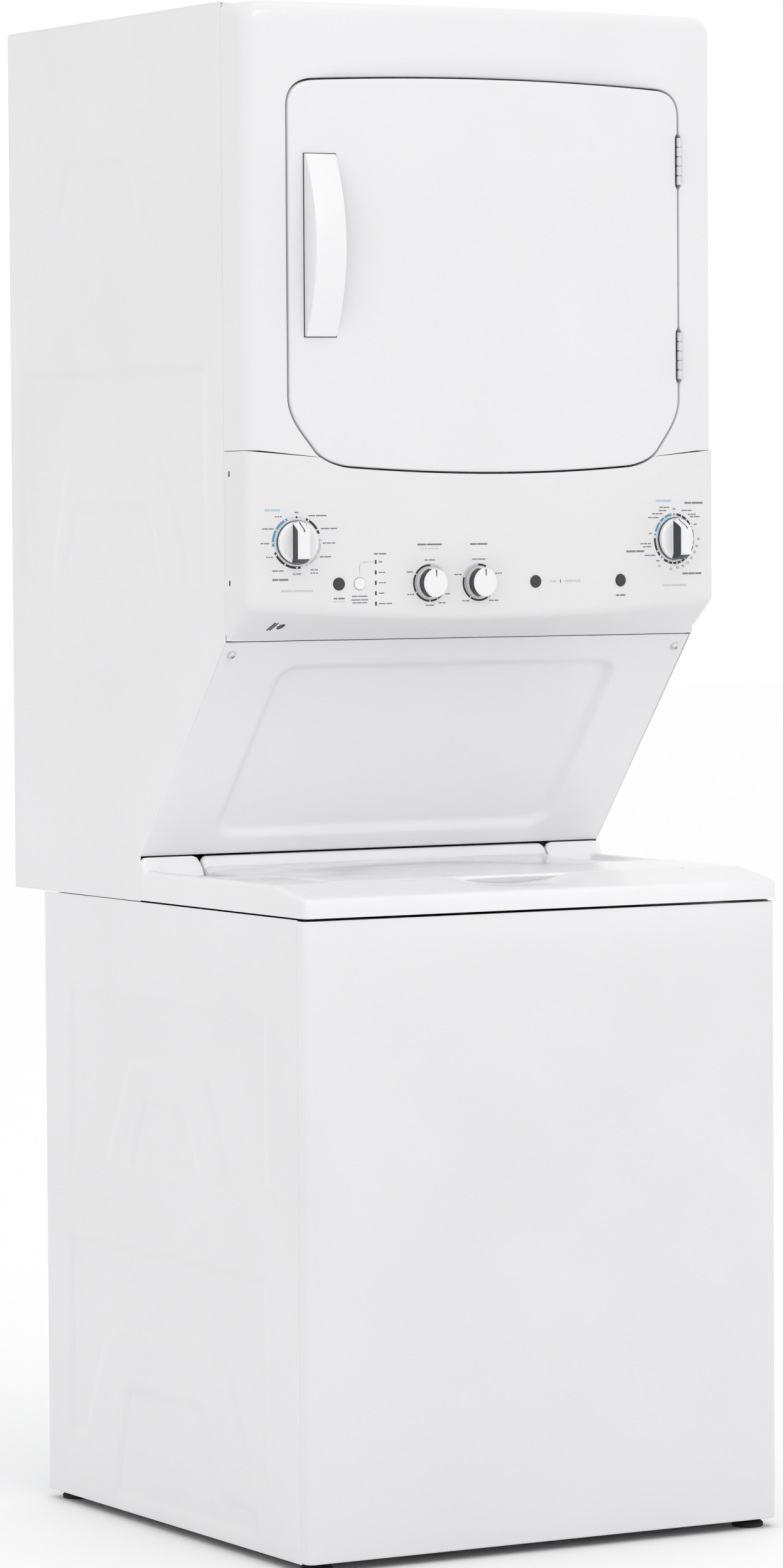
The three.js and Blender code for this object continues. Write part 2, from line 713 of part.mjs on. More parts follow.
function consoleTop(x) {
  const share = Math.min(1, (HALF_WIDTH - Math.abs(x)) / (HALF_WIDTH - NOTCH_X));
  return CONSOLE_TOP_SIDE + (CONSOLE_TOP_NOTCH - CONSOLE_TOP_SIDE) * share;
}

function consoleLow(x) {
  return CONSOLE_LOW_MID + (CONSOLE_LOW_SIDE - CONSOLE_LOW_MID) * (x / HALF_WIDTH) ** 2;
}

function stations(half) {
  const inside = [NOTCH_X, 285, 185, 125, 62];
  return [0, ...inside.flatMap((x) => [x, -x]), half, -half].sort((a, b) => a - b);
}

// everything behind the bulged front surface, moved back by the offset
function behindFront(shift, low, high, half = HALF_WIDTH) {
  return loft(stations(half), (x) => [
    [frontY(x) + shift, low], [-180, low], [-180, high], [frontY(x) + shift, high],
  ]);
}

function doorOutline() {
  const right = [
    ...curve([0, 1836], [124, 1836], [249, 1830], 3),
    ...curve([249, 1830], [283, 1828], [283, 1796], 4).slice(1),
    ...curve([283, 1440], [283, 1418], [264, 1394], 4),
    ...curve([250, 1376], [238, 1359], [205, 1354], 4),
    ...curve([205, 1354], [100, 1346], [0, 1346], 4).slice(1),
  ];
  return [...right, ...mirrored(right).slice(1, -1)];
}

function doorwayOutline() {
  const { half, low, high, radius } = DOORWAY_SIZE;
  return roundedRectangle(half, low, high, radius, 5);
}

const DOOR = doorOutline();
const DOORWAY = doorwayOutline();

function hingeReliefs() {
  return Object.values(HINGE_SPANS).map(([low, high]) => (
    turnedZ(rod(HINGE.relief, low - 1.5, high + 1.5), HINGE.x, HINGE.y, ROUND_SMALL)
  ));
}

function dryerFront() {
  const wall = DECK_SKIN;
  const bottom = (x) => consoleTop(x) + 0.8;
  const outside = loft(stations(HALF_WIDTH), (x) => [
    [SEAM_Y - GAP, bottom(x)],
    [frontY(x), bottom(x)],
    [frontY(x), HEIGHT - EDGE_ROUND],
    [frontY(x) + 6, HEIGHT - 6],
    [frontY(x) + EDGE_ROUND, HEIGHT],
    [SEAM_Y - GAP, HEIGHT],
  ]);
  const inside = loft(stations(HALF_WIDTH - wall), (x) => [
    [SEAM_Y + 10, bottom(x) - 5],
    [frontY(x) + wall, bottom(x) - 5],
    [frontY(x) + wall, HEIGHT - EDGE_ROUND - 0.6],
    [frontY(x) + 7, HEIGHT - 7.4],
    [frontY(x) + EDGE_ROUND + 0.6, HEIGHT - wall],
    [SEAM_Y + 10, HEIGHT - wall],
  ]);
  const recessBack = RECESS_FLOOR_Y + wall;
  const recess = prismY(offset(DOOR, DOOR_GAP + wall), -300, recessBack);
  const shell = joined([cut(outside, inside), recess.intersect(behindFront(0, 1320, 1890))]);
  const consoleSkin = loft(stations(HALF_WIDTH + 1), (x) => [
    [frontY(x) - 5, 1300],
    [frontY(x) + CONSOLE_WALL + 0.5, 1300],
    [frontY(x) + CONSOLE_WALL + 0.5, bottom(x)],
    [frontY(x) - 5, bottom(x)],
  ]);
  return cut(
    shell,
    prismY(offset(DOOR, DOOR_GAP), -320, RECESS_FLOOR_Y),
    prismY(DOORWAY, RECESS_FLOOR_Y - 5, recessBack + 5),
    consoleSkin,
    box(CATCH.x - 5, CATCH.x + 5, -245, -230, CATCH.z - 12, CATCH.z + 12),
    ...hingeReliefs(),
  );
}

function controlFrame({ x, z }) {
  const steepness = (2 * BULGE * x) / HALF_WIDTH ** 2;
  const outward = new THREE.Vector3(steepness, -1, 0).normalize();
  const up = new THREE.Vector3(0, 0, 1);
  const across = new THREE.Vector3().crossVectors(up, outward);
  const frame = new THREE.Group();
  frame.position.set(x, frontY(x), z);
  frame.quaternion.setFromRotationMatrix(new THREE.Matrix4().makeBasis(across, up, outward));
  return frame;
}

function controlHole(control) {
  const radius = control.kind === 'button' ? control.radius + 0.7 : 9;
  const frame = controlFrame(control);
  frame.updateMatrix();
  const bit = revolved(rod(radius, -12, 8), ROUND_SMALL + 2).rotateX(Math.PI / 2);
  return solidFrom(bit.applyMatrix4(frame.matrix));
}

function controlConsole() {
  const outside = loft(stations(HALF_WIDTH), (x) => [
    [SEAM_Y - GAP, consoleTop(x)],
    [frontY(x), consoleTop(x)],
    [frontY(x), consoleLow(x)],
    [SEAM_Y - GAP, CONSOLE_BACK_LOW],
  ]);
  const inside = loft(stations(HALF_WIDTH - CONSOLE_WALL), (x) => [
    [SEAM_Y + 10, consoleTop(x) + 5],
    [frontY(x) + CONSOLE_WALL, consoleTop(x) + 5],
    [frontY(x) + CONSOLE_WALL, consoleLow(x) + 3],
    [SEAM_Y - GAP, CONSOLE_BACK_LOW + 3],
    [SEAM_Y + 10, CONSOLE_BACK_LOW + 3],
  ]);
  return cut(
    outside,
    inside,
    prismY(offset(DOOR, DOOR_GAP), -320, -180),
    ...Object.values(CONTROLS).map(controlHole),
  );
}

function timerBox(side) {
  const x = side * CONTROLS.dryer_cycle_knob.x;
  const { z } = CONTROLS.dryer_cycle_knob;
  return box(x - 32, x + 32, -241, -203, z - 32, z + 32);
}

add('dryer_front_panel', dryerFront(), enamel);
add('control_console', controlConsole(), whitePlastic);
add('washer_timer', timerBox(-1), greyPlastic);
add('dryer_timer', timerBox(1), greyPlastic);

function dialKnob(radius) {
  const disc = turnedZ([
    [0, 1.2], [radius, 1.2], [radius, 6], [radius - 2, 9], [0, 9],
  ], 0, 0, ROUND_MID);
  const grip = prismX([
    [-radius + 3, 8], [radius - 3, 8], [radius - 5, 20], [radius - 8, 23], [8 - radius, 23],
    [5 - radius, 20],
  ], -7.5, 7.5);
  const shaft = turnedZ(rod(4, -20, 2), 0, 0, ROUND_SMALL);
  return joined([disc, grip, shaft]);
}

function smallKnob(radius) {
  const cap = turnedZ([
    [0, 1.2], [radius, 1.2], [radius, 4], [radius - 2.5, 17], [radius - 4.5, 19], [0, 19],
  ], 0, 0, ROUND_MID);
  return joined([cap, turnedZ(rod(3, -16, 2), 0, 0, ROUND_SMALL)]);
}

function pushButton(radius) {
  return turnedZ([
    [0, -9], [radius - 1.5, -9], [radius, -8], [radius, 1.6], [radius - 1, 2.4], [0, 2.4],
  ], 0, 0, ROUND_MID);
}

const controlMakers = { dial: dialKnob, small: smallKnob, button: pushButton };
Object.entries(CONTROLS).forEach(([name, control]) => {
  const frame = controlFrame(control);
  laundryCentre.add(frame);
  const material = control.colour === 'dark' ? darkPlastic : whitePlastic;
  add(name, controlMakers[control.kind](control.radius), material, frame);
});

// ---------------------------------------------------------------- dryer door
function doorPanel() {
  const outside = prismY(DOOR, -320, DOOR_BACK_Y).intersect(behindFront(-DOOR_PROUD, 1330, 1850));
  const skin = DECK_SKIN - DOOR_PROUD;
  const inside = prismY(offset(DOOR, -DECK_SKIN), -320, -230);
  return cut(outside, inside.intersect(behindFront(skin, 1330, 1850)), ...hingeReliefs());
}

function doorLiner() {
  const plate = prismY(offset(DOOR, -5.5), DOOR_BACK_Y + GAP, -244.4);
  const plug = prismY(offset(DOORWAY, -8), DOOR_BACK_Y + GAP, -229);
  const hollow = prismY(offset(DOORWAY, -9.4), -260, -230.4);
  const strike = box(CATCH.x - 2.5, CATCH.x + 2.5, -245, -224, CATCH.z - 8, CATCH.z + 8);
  return joined([cut(joined([plate, plug]), hollow), strike]);
}

function doorSeal() {
  return cut(
    prismY(offset(DOORWAY, 14), -244, RECESS_FLOOR_Y - GAP),
    prismY(offset(DOORWAY, 4), -250, -230),
  );
}

function doorCatch() {
  return cut(
    box(CATCH.x - 11, CATCH.x + 11, RECESS_FLOOR_Y + DECK_SKIN + GAP, -216,
      CATCH.z - 18, CATCH.z + 18),
    box(CATCH.x - 5, CATCH.x + 5, -240, -219, CATCH.z - 12, CATCH.z + 12),
  );
}

function doorHandle() {
  const { x0, x1, low, high, baseY, rise, end } = HANDLE;
  const middle = (low + high) / 2;
  const half = (high - low) / 2;
  const steps = 12;
  const bow = (depth, from, to) => Array.from({ length: steps + 1 }, (_, i) => {
    const z = from + ((to - from) * i) / steps;
    return [baseY - end - rise * (1 - ((z - middle) / half) ** 2) + depth, z];
  });
  const strap = 5;
  const web = 4;
  const cap = 11;
  const outside = prismX([...bow(0, low, high), [-255, high], [-255, low]], x0, x1);
  const pocket = prismX(
    [...bow(strap, low + cap, high - cap), [-250, high - cap], [-250, low + cap]],
    x0 + web, x1 + 1,
  );
  return cut(outside, pocket, behindFront(-DOOR_PROUD - 0.3, 1400, 1850));
}

function hingeLeaf(span, onDoor) {
  const [low, high] = span;
  const knuckles = 5;
  const pitch = (high - low) / knuckles;
  const { x, y, radius } = HINGE;
  const plateX = onDoor ? [x - 0.9, x - 0.2] : [x + 0.2, x + 0.9];
  const plateBack = onDoor ? DOOR_BACK_Y - 1.8 : RECESS_FLOOR_Y - 2;
  const pieces = [box(...plateX, y + radius + 0.4, plateBack, low, high)];
  for (let i = onDoor ? 1 : 0; i < knuckles; i += 2) {
    const z0 = low + pitch * i + 0.2;
    const z1 = low + pitch * (i + 1) - 0.2;
    const barrel = onDoor ? tube(2.3, radius, z0, z1) : rod(radius, z0, z1);
    pieces.push(turnedZ(barrel, x, y, ROUND_SMALL));
    pieces.push(box(...plateX, y + radius - 0.5, y + radius + 1, z0, z1));
  }
  if (!onDoor) pieces.push(turnedZ(rod(1.8, low + 1, high - 1), x, y, ROUND_SMALL));
  return joined(pieces);
}

add('dryer_door_panel', doorPanel(), enamel);
add('door_liner', doorLiner(), enamel);
add('door_seal', doorSeal(), greyPlastic);
add('door_catch', doorCatch(), whitePlastic);
add('door_handle', doorHandle(), whitePlastic);
Object.entries(HINGE_SPANS).forEach(([name, span]) => {
  add(`${name}_hinge_frame_leaf`, hingeLeaf(span, false), brightSteel);
  add(`${name}_hinge_door_leaf`, hingeLeaf(span, true), brightSteel);
});

// ---------------------------------------------------------------- dryer drum and air path
function frontBulkhead() {
  const y0 = SEAM_Y + GAP * 1.5;
  const plate = box(-BETWEEN_SIDES, BETWEEN_SIDES, y0, y0 + 1.2, 1280, HEIGHT - SHEET - GAP);
  const throat = prismY(offset(DOORWAY, 1.2), RECESS_FLOOR_Y + DECK_SKIN + GAP, y0 + 1);
  return cut(
    joined([plate, throat]),
    prismY(DOORWAY, -250, -180),
    box(-LINT.half - 3, LINT.half + 3, LINT.frontY - 3, LINT.backY + 3, 1395, 1412),
  );
}

function lintDuct() {
  const { x } = MOTOR;
  const outside = joined([
    box(-130, 130, -224, -204, 1192, 1403),
    box(x - 70, x + 70, -214, 56, 1192, 1262),
    box(x - 70, x + 70, 6, 56, 985, 1262),
  ]);
  const inside = joined([
    box(-128.5, 128.5, -222.5, -205.5, 1193.5, 1410),
    box(x - 68.5, x + 68.5, -212.5, 54.5, 1193.5, 1260.5),
    box(x - 68.5, x + 68.5, 7.5, 54.5, 986.5, 1260.5),
  ]);
  return cut(outside, inside, turnedY(rod(BLOWER.eye, 50, 60), x, MOTOR.z, ROUND_MID));
}

function lintFilter() {
  const { half, frontY: y0, backY: y1, low, high } = LINT;
  const frame = box(-half, half, y0, y1, low, high);
  const window = box(-half + 10, half - 10, y0 - 1, y1 - 1.5, low + 10, high - 22);
  return cut(frame, window, box(-40, 40, y0 - 1, y0 + 3, high - 14, high - 5));
}

function blowerHousing() {
  const { x, z } = MOTOR;
  const { radius, wall, y0, y1, eye } = BLOWER;
  const outside = joined([
    turnedY(rod(radius, y0, y1), x, z, ROUND_MID),
    box(x, 100, y0, y1, 880, 975),
  ]);
  const inside = joined([
    turnedY(rod(radius - 2, y0 + wall, y1 - wall), x, z, ROUND_MID),
    box(x + wall, 100 - wall, y0 + wall, y1 - wall, 880 + wall, 975 - wall),
  ]);
  return cut(
    outside,
    inside,
    turnedY(rod(eye, y0 - 8, y0 + 4), x, z, ROUND_MID),
    turnedY(rod(11, 120, 135), x, z, ROUND_SMALL),
    turnedY(rod(EXHAUST.radius - 2, 120, 135), EXHAUST.x, EXHAUST.z, ROUND_MID),
  );
}

function blowerWheel() {
  return turnedY([
    [0, 108], [12, 108], [12, 114], [66, 114], [66, 66], [75, 66], [75, 118], [8, 118],
    [8, 172], [PULLEY_RADIUS, 172], [PULLEY_RADIUS, 186], [8, 186], [8, 196], [0, 196],
  ], MOTOR.x, MOTOR.z, ROUND_MID);
}

function dryerMotor() {
  const { x, z, radius } = MOTOR;
  const body = turnedY([
    [0, 198], [radius - 8, 198], [radius, 206], [radius, 296], [radius - 8, 304], [0, 304],
  ], x, z, ROUND_MID);
  const floor = DECK_LOW + SHEET + GAP;
  return joined([
    body,
    box(x - 34, x + 34, 214, 217, floor, z - radius + 14),
    box(x - 34, x + 34, 285, 288, floor, z - radius + 14),
    box(x - 34, x + 34, 214, 288, floor, floor + 3),
  ]);
}

function dryerDrum() {
  const { z, radius, frontY: y0, backY: y1, lip, shaft } = DRUM;
  const wall = DECK_SKIN;
  const shell = turnedY([
    [lip, y0], [radius, y0], [radius, y1], [shaft, y1], [shaft, y1 + 32], [0, y1 + 32],
    [0, y1 - wall], [radius - wall, y1 - wall], [radius - wall, y0 + wall], [lip, y0 + wall],
  ], 0, z, ROUND_BIG);
  const root = radius - wall - 2.5;
  const tip = root - VANE.height;
  const vanes = VANE.angles.map((angle) => {
    const outer = [[root, -VANE.foot], [tip, -VANE.tip], [tip, VANE.tip], [root, VANE.foot]];
    const inner = [
      [root + 5, -VANE.foot - 0.4],
      [tip + 2, -VANE.tip + wall],
      [tip + 2, VANE.tip - wall],
      [root + 5, VANE.foot + 0.4],
    ];
    const vane = cut(prismY(outer, VANE.y0, VANE.y1), prismY(inner, VANE.y0 - 5, VANE.y1 + 5));
    const turned = geometryFrom(vane).rotateY(-THREE.MathUtils.degToRad(angle));
    return solidFrom(turned.translate(0, 0, z));
  });
  const footEnd = Math.sqrt((radius - 1) ** 2 - VANE.foot ** 2);
  const feet = VANE.angles.map((angle) => {
    const strips = [[-VANE.foot, 3 - VANE.foot], [VANE.foot - 3, VANE.foot]].map((span) => (
      box(root - 4, footEnd, VANE.y0, VANE.y1, ...span)
    ));
    const turned = geometryFrom(joined(strips)).rotateY(-THREE.MathUtils.degToRad(angle));
    return solidFrom(turned.translate(0, 0, z));
  });
  return joined([shell, ...vanes, ...feet]);
}

// closed loop of the given inner radii around two centres in the XZ plane
function beltOutline(extra) {
  const big = DRUM.radius + BELT.clear + extra;
  const small = PULLEY_RADIUS + 1 + extra;
  const dx = MOTOR.x;
  const dz = MOTOR.z - DRUM.z;
  const toPulley = THREE.MathUtils.radToDeg(Math.atan2(dz, dx));
  const open = THREE.MathUtils.radToDeg(Math.acos((big - small) / Math.hypot(dx, dz)));
  return [
    ...arc(0, DRUM.z, big, toPulley + open, toPulley + 360 - open, 36),
    ...arc(MOTOR.x, MOTOR.z, small, toPulley - open, toPulley + open, 8),
  ];
}

function drumBelt() {
  const { y0, y1, thick } = BELT;
  return cut(prismY(beltOutline(thick), y0, y1), prismY(beltOutline(0), y0 - 5, y1 + 7));
}

function rearBulkhead() {
  const { y, thick, low, intake, intakeRing } = BULKHEAD;
  const plate = box(-BETWEEN_SIDES, BETWEEN_SIDES, y, y + thick, low, HEIGHT - SHEET - GAP);
  const hole = (radius, x, z) => turnedY(rod(radius, y - 5, y + 5), x, z, ROUND_SMALL);
  const intakes = Array.from({ length: 8 }, (_, i) => {
    const angle = (i * Math.PI) / 4;
    return hole(intake, intakeRing * Math.cos(angle), DRUM.z + intakeRing * Math.sin(angle));
  });
  return cut(plate, hole(DRUM.shaft + 3, 0, DRUM.z), ...intakes);
}

function heaterHousing() {
  return turnedY([
    [198.8, 353.6], [200, 353.6], [200, 392], [0, 392], [0, 390.8], [198.8, 390.8],
  ], 0, DRUM.z, ROUND_MID);
}

function exhaustDuct() {
  return turnedY(
    tube(EXHAUST.radius - 1.5, EXHAUST.radius, 128.4, BACK_Y - 0.2),
    EXHAUST.x, EXHAUST.z, ROUND_MID,
  );
}

add('front_bulkhead', frontBulkhead(), enamel);
add('lint_duct', lintDuct(), greyPlastic);
add('lint_filter', lintFilter(), whitePlastic);
add('blower_housing', blowerHousing(), greyPlastic);
add('blower_wheel', blowerWheel(), greyPlastic);
add('dryer_motor', dryerMotor(), motorIron);
add('dryer_drum', dryerDrum(), enamel);
add('drum_belt', drumBelt(), blackRubber);
add('rear_bulkhead', rearBulkhead(), zincSteel);
add('heater_housing', heaterHousing(), zincSteel);
add('exhaust_duct', exhaustDuct(), zincSteel);

export default laundryCentre;
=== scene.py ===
"""Looks of a stacked laundry centre: a top-loading washer below and a tumble dryer above.

Shapes are worked out in millimetres, with +Z up and the front facing -Y, and turned into
metres when a mesh is made.
"""

import json
import math

import bmesh
import bpy
import numpy as np
from mathutils import Matrix, Vector


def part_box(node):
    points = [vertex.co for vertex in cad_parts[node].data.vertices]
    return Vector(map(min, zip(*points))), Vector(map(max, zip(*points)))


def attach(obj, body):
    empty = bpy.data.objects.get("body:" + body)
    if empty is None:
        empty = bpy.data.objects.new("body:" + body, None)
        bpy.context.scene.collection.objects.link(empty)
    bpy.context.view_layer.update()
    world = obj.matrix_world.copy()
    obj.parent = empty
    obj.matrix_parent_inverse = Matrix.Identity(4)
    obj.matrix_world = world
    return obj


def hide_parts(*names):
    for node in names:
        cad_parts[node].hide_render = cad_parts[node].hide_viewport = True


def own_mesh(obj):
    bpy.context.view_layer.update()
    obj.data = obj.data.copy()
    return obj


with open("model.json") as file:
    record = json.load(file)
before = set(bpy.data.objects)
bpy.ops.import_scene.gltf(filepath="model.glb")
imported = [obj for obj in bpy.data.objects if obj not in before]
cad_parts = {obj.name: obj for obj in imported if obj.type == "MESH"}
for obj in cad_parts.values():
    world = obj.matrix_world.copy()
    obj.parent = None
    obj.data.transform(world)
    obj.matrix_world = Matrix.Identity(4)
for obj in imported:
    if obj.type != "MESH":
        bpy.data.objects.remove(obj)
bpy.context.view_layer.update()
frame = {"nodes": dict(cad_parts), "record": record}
NODES = frame["nodes"]
MM = 0.001

# ---------------------------------------------------------------- main dimensions, from the frame


def corners(node):
    """Lowest and highest corner of a CAD node in millimetres."""
    low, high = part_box(node)
    return [1000 * v for v in low], [1000 * v for v in high]


SIDE_LOW, SIDE_HIGH = corners("dryer_left_side")
HALF = -SIDE_LOW[0]
TOP = SIDE_HIGH[2]
BACK = SIDE_HIGH[1]
DECK_LOW = corners("washer_top_cover")[0][2]
LIP = corners("washer_top_cover")[0][1]
WASHER_FRONT = corners("washer_front_panel")[0][1]
WASHER_LOW, WASHER_TOP = (corners("washer_front_panel")[i][2] for i in (0, 1))
WASHER_BACK = corners("washer_left_side")[1][1]
SEAM = -200.4  # y where the dryer's front meets its sides
SIDE_FRONT = -199.6
CORNER = -256.0  # y of the dryer's front at its corners; it bows out by BULGE in the middle
BULGE = 25.0
DECK_REAR = 36.6
SLOPE_LOW = (37.0, 859.0)  # ends of the sloping panel, as (y, z)
SLOPE_HIGH = (-198.0, 1136.0)
CHIN_BACK = 1137.4
DOOR_GAP = 2.4
RECESS = -238.0  # y of the floor that the door closes on
DOOR_BACK = -246.2
BIG = 27.0  # radii of the dials and buttons
SMALL = 20.5
BUTTON = 7.75
CONTROLS = {  # centre of each control on the console, as (x, z)
    "washer_cycle_knob": (-275, 1260),
    "dryer_cycle_knob": (275, 1260),
    "temperature_knob": (-94, 1208),
    "load_size_knob": (-24, 1208),
    "washer_start_button": (-219, 1208),
    "deep_rinse_button": (-191, 1208),
    "dryer_start_button": (189, 1208),
}


def ease(t):
    t = np.clip(t, 0, 1)
    return t * t * (3 - 2 * t)


def front(x):
    """y of the dryer's bowed front."""
    return CORNER - BULGE * (1 - (np.asarray(x, float) / HALF) ** 2)


def console_top(x):
    return 1373 - 9 * np.minimum(1, (HALF - np.abs(x)) / 104.5)


def console_low(x):
    return 1163 + 18 * (np.asarray(x, float) / HALF) ** 2


# ---------------------------------------------------------------- materials
def material(name, colour, rough, metal=0.0, coat=0.0, tone=0.02, tone_scale=5.0, grain=700.0,
             depth=0.00003, spread=0.04, stretch=(1, 1, 1)):
    """A finish with patchy colour, patchy gloss and a fine surface grain."""
    mat = bpy.data.materials.new(name)
    mat.use_nodes = True
    nodes, links = mat.node_tree.nodes, mat.node_tree.links
    shader = nodes["Principled BSDF"]
    shader.inputs["Metallic"].default_value = metal
    shader.inputs["Coat Weight"].default_value = coat
    shader.inputs["Coat Roughness"].default_value = 0.07
    where = nodes.new("ShaderNodeTexCoord")
    place = nodes.new("ShaderNodeMapping")
    place.inputs["Scale"].default_value = stretch
    links.new(where.outputs["Object"], place.inputs["Vector"])

    def noise(scale, detail):
        node = nodes.new("ShaderNodeTexNoise")
        node.inputs["Scale"].default_value = scale
        node.inputs["Detail"].default_value = detail
        links.new(place.outputs["Vector"], node.inputs["Vector"])
        return node.outputs["Fac"]

    ramp = nodes.new("ShaderNodeValToRGB")
    ramp.color_ramp.elements[0].position = 0.3
    ramp.color_ramp.elements[1].position = 0.7
    ramp.color_ramp.elements[0].color = [c * (1 - tone) for c in colour] + [1]
    ramp.color_ramp.elements[1].color = [min(1, c * (1 + tone / 2)) for c in colour] + [1]
    links.new(noise(tone_scale, 5), ramp.inputs["Fac"])
    links.new(ramp.outputs["Color"], shader.inputs["Base Color"])
    gloss = nodes.new("ShaderNodeMapRange")
    gloss.inputs["To Min"].default_value = max(0.02, rough - spread)
    gloss.inputs["To Max"].default_value = rough + spread
    links.new(noise(tone_scale * 7, 6), gloss.inputs["Value"])
    links.new(gloss.outputs["Result"], shader.inputs["Roughness"])
    bump = nodes.new("ShaderNodeBump")
    bump.inputs["Distance"].default_value = depth
    links.new(noise(grain, 3), bump.inputs["Height"])
    links.new(bump.outputs["Normal"], shader.inputs["Normal"])
    return mat


ENAMEL = material("enamel_white", (0.758, 0.755, 0.766), 0.22, coat=0.35, grain=420, depth=0.00002)
WHITE = material("white_plastic", (0.82, 0.817, 0.827), 0.34, grain=1600, depth=0.00002)
FASCIA = material("fascia_plastic", (0.745, 0.743, 0.751), 0.34, grain=1600, depth=0.00002)
DARK = material("dark_plastic", (0.035, 0.037, 0.042), 0.4, tone=0.12, grain=1500)
GREY = material("grey_plastic", (0.55, 0.56, 0.57), 0.5, tone=0.06, grain=1100, depth=0.00004)
PALE = material("pale_grey_plastic", (0.56, 0.56, 0.565), 0.42, tone=0.04, grain=1300)
ZINC = material("zinc_steel", (0.52, 0.54, 0.56), 0.38, metal=0.9, tone=0.12, tone_scale=45,
                grain=160, depth=0.00002, spread=0.1)
STAINLESS = material("stainless_steel", (0.62, 0.63, 0.64), 0.25, metal=1, tone=0.08, grain=500,
                     spread=0.07, stretch=(1, 1, 14))
BRIGHT = material("bright_steel", (0.72, 0.72, 0.73), 0.3, metal=1, tone=0.1, tone_scale=60)
RUBBER = material("black_rubber", (0.018, 0.018, 0.02), 0.8, tone=0.2, tone_scale=30, grain=900,
                  depth=0.00008)
IRON = material("motor_iron", (0.1, 0.105, 0.11), 0.55, metal=0.5, tone=0.2, tone_scale=40,
                grain=350, depth=0.0001)
INK_DARK = material("print_dark_grey", (0.02, 0.02, 0.022), 0.6, tone=0.08, tone_scale=80)
INK_BLUE = material("print_blue", (0.062, 0.3, 0.5), 0.45, tone=0.06, tone_scale=80)
INK_PALE = material("print_pale_grey", (0.56, 0.57, 0.58), 0.45, tone=0.05, tone_scale=80)
INK_FAINT = material("print_pale_blue", (0.4, 0.55, 0.66), 0.45, tone=0.05, tone_scale=80)
INK_TEXT = material("print_label_grey", (0.2, 0.2, 0.21), 0.45, tone=0.08, tone_scale=80)

SLOT_LOOK = {
    "enamel_white": ENAMEL, "white_plastic": WHITE, "dark_plastic": DARK, "grey_plastic": GREY,
    "zinc_steel": ZINC, "stainless_steel": STAINLESS, "screw_steel": BRIGHT,
    "black_rubber": RUBBER, "motor_iron": IRON,
}


# ---------------------------------------------------------------- mesh making
class Shell:
    """Points and faces in millimetres."""

    def __init__(self):
        self.points, self.faces, self.tints = [], [], []

    def grid(self, rows, round_u=False, round_v=False, tint=0, skip=None):
        rows = np.asarray(rows, float)
        tall, wide = rows.shape[:2]
        base = len(self.points)
        self.points.extend(rows.reshape(-1, 3).tolist())
        for i in range(tall if round_v else tall - 1):
            for j in range(wide if round_u else wide - 1):
                if skip is not None and skip[i, j]:
                    continue
                i2, j2 = (i + 1) % tall, (j + 1) % wide
                ring = (i * wide + j, i * wide + j2, i2 * wide + j2, i2 * wide + j)
                self.faces.append(tuple(base + k for k in ring))
                self.tints.append(tint)
        return self

    def polygon(self, ring, tint=0):
        base = len(self.points)
        self.points.extend([list(map(float, p)) for p in ring])
        self.faces.append(tuple(range(base, base + len(ring))))
        self.tints.append(tint)
        return self

    def prism(self, outline, low, high, tint=0):
        """outline is a function of the height that gives a ring of 3-D points."""
        return self.loft([outline(low), outline(high)], tint)

    def loft(self, rings, tint=0):
        """Rings joined into a solid with flat ends."""
        self.grid(rings, round_u=True, tint=tint)
        return self.polygon(rings[0], tint).polygon(rings[-1], tint)

    def turned(self, profile, centre=(0, 0, 0), axis="z", steps=48, tint=0, swell=None):
        """Closed profile of (radius, height) turned about an axis through centre."""
        angles = np.arange(steps) * 2 * math.pi / steps
        rows = []
        for radius, height in profile:
            reach = radius * (swell(angles, radius, height) if swell else np.ones(steps))
            a, b = reach * np.cos(angles), reach * np.sin(angles)
            h = np.full(steps, float(height))
            ring = (a, b, h) if axis == "z" else (a, h, b)
            rows.append(np.stack(ring, 1) + centre)
        return self.grid(rows, round_u=True, tint=tint)

    def join(self, other, move=None):
        base = len(self.points)
        points = np.asarray(other.points, float)
        if move is not None:
            points = points @ np.asarray(move)[:3, :3].T + np.asarray(move)[:3, 3]
        self.points.extend(points.tolist())
        self.faces.extend(tuple(base + k for k in face) for face in other.faces)
        self.tints.extend(other.tints)
        return self

    def mesh(self, name, facing=None):
        mesh = bpy.data.meshes.new(name)
        mesh.from_pydata((np.asarray(self.points) * MM).tolist(), [], self.faces)
        mesh.polygons.foreach_set("material_index", self.tints)
        work = bmesh.new()
        work.from_mesh(mesh)
        bmesh.ops.remove_doubles(work, verts=work.verts, dist=4e-6)
        bmesh.ops.dissolve_degenerate(work, edges=work.edges, dist=1e-7)
        bmesh.ops.recalc_face_normals(work, faces=work.faces)
        if facing is not None:
            lean = sum((f.normal * f.calc_area() for f in work.faces), Vector())
            if lean.dot(Vector(facing)) < 0:
                bmesh.ops.reverse_faces(work, faces=work.faces)
        work.to_mesh(mesh)
        work.free()
        return mesh


def settle(obj):
    """Turns an object's modifiers into its mesh."""
    graph = bpy.context.evaluated_depsgraph_get()
    mesh = bpy.data.meshes.new_from_object(obj.evaluated_get(graph))
    obj.modifiers.clear()
    old = obj.data
    obj.data = mesh
    bpy.data.meshes.remove(old)


def sharpen(mesh, angle):
    """Smooth faces, with edges that turn more than the angle kept sharp."""
    work = bmesh.new()
    work.from_mesh(mesh)
    for face in work.faces:
        face.smooth = True
    for edge in work.edges:
        if len(edge.link_faces) == 2:
            edge.smooth = edge.calc_face_angle(0.0) < math.radians(angle)
    work.to_mesh(mesh)
    work.free()


def bevel(width, segments=3, angle=35):
    return ("BEVEL", {"width": width * MM, "segments": segments, "limit_method": "ANGLE",
                      "angle_limit": math.radians(angle), "harden_normals": False})


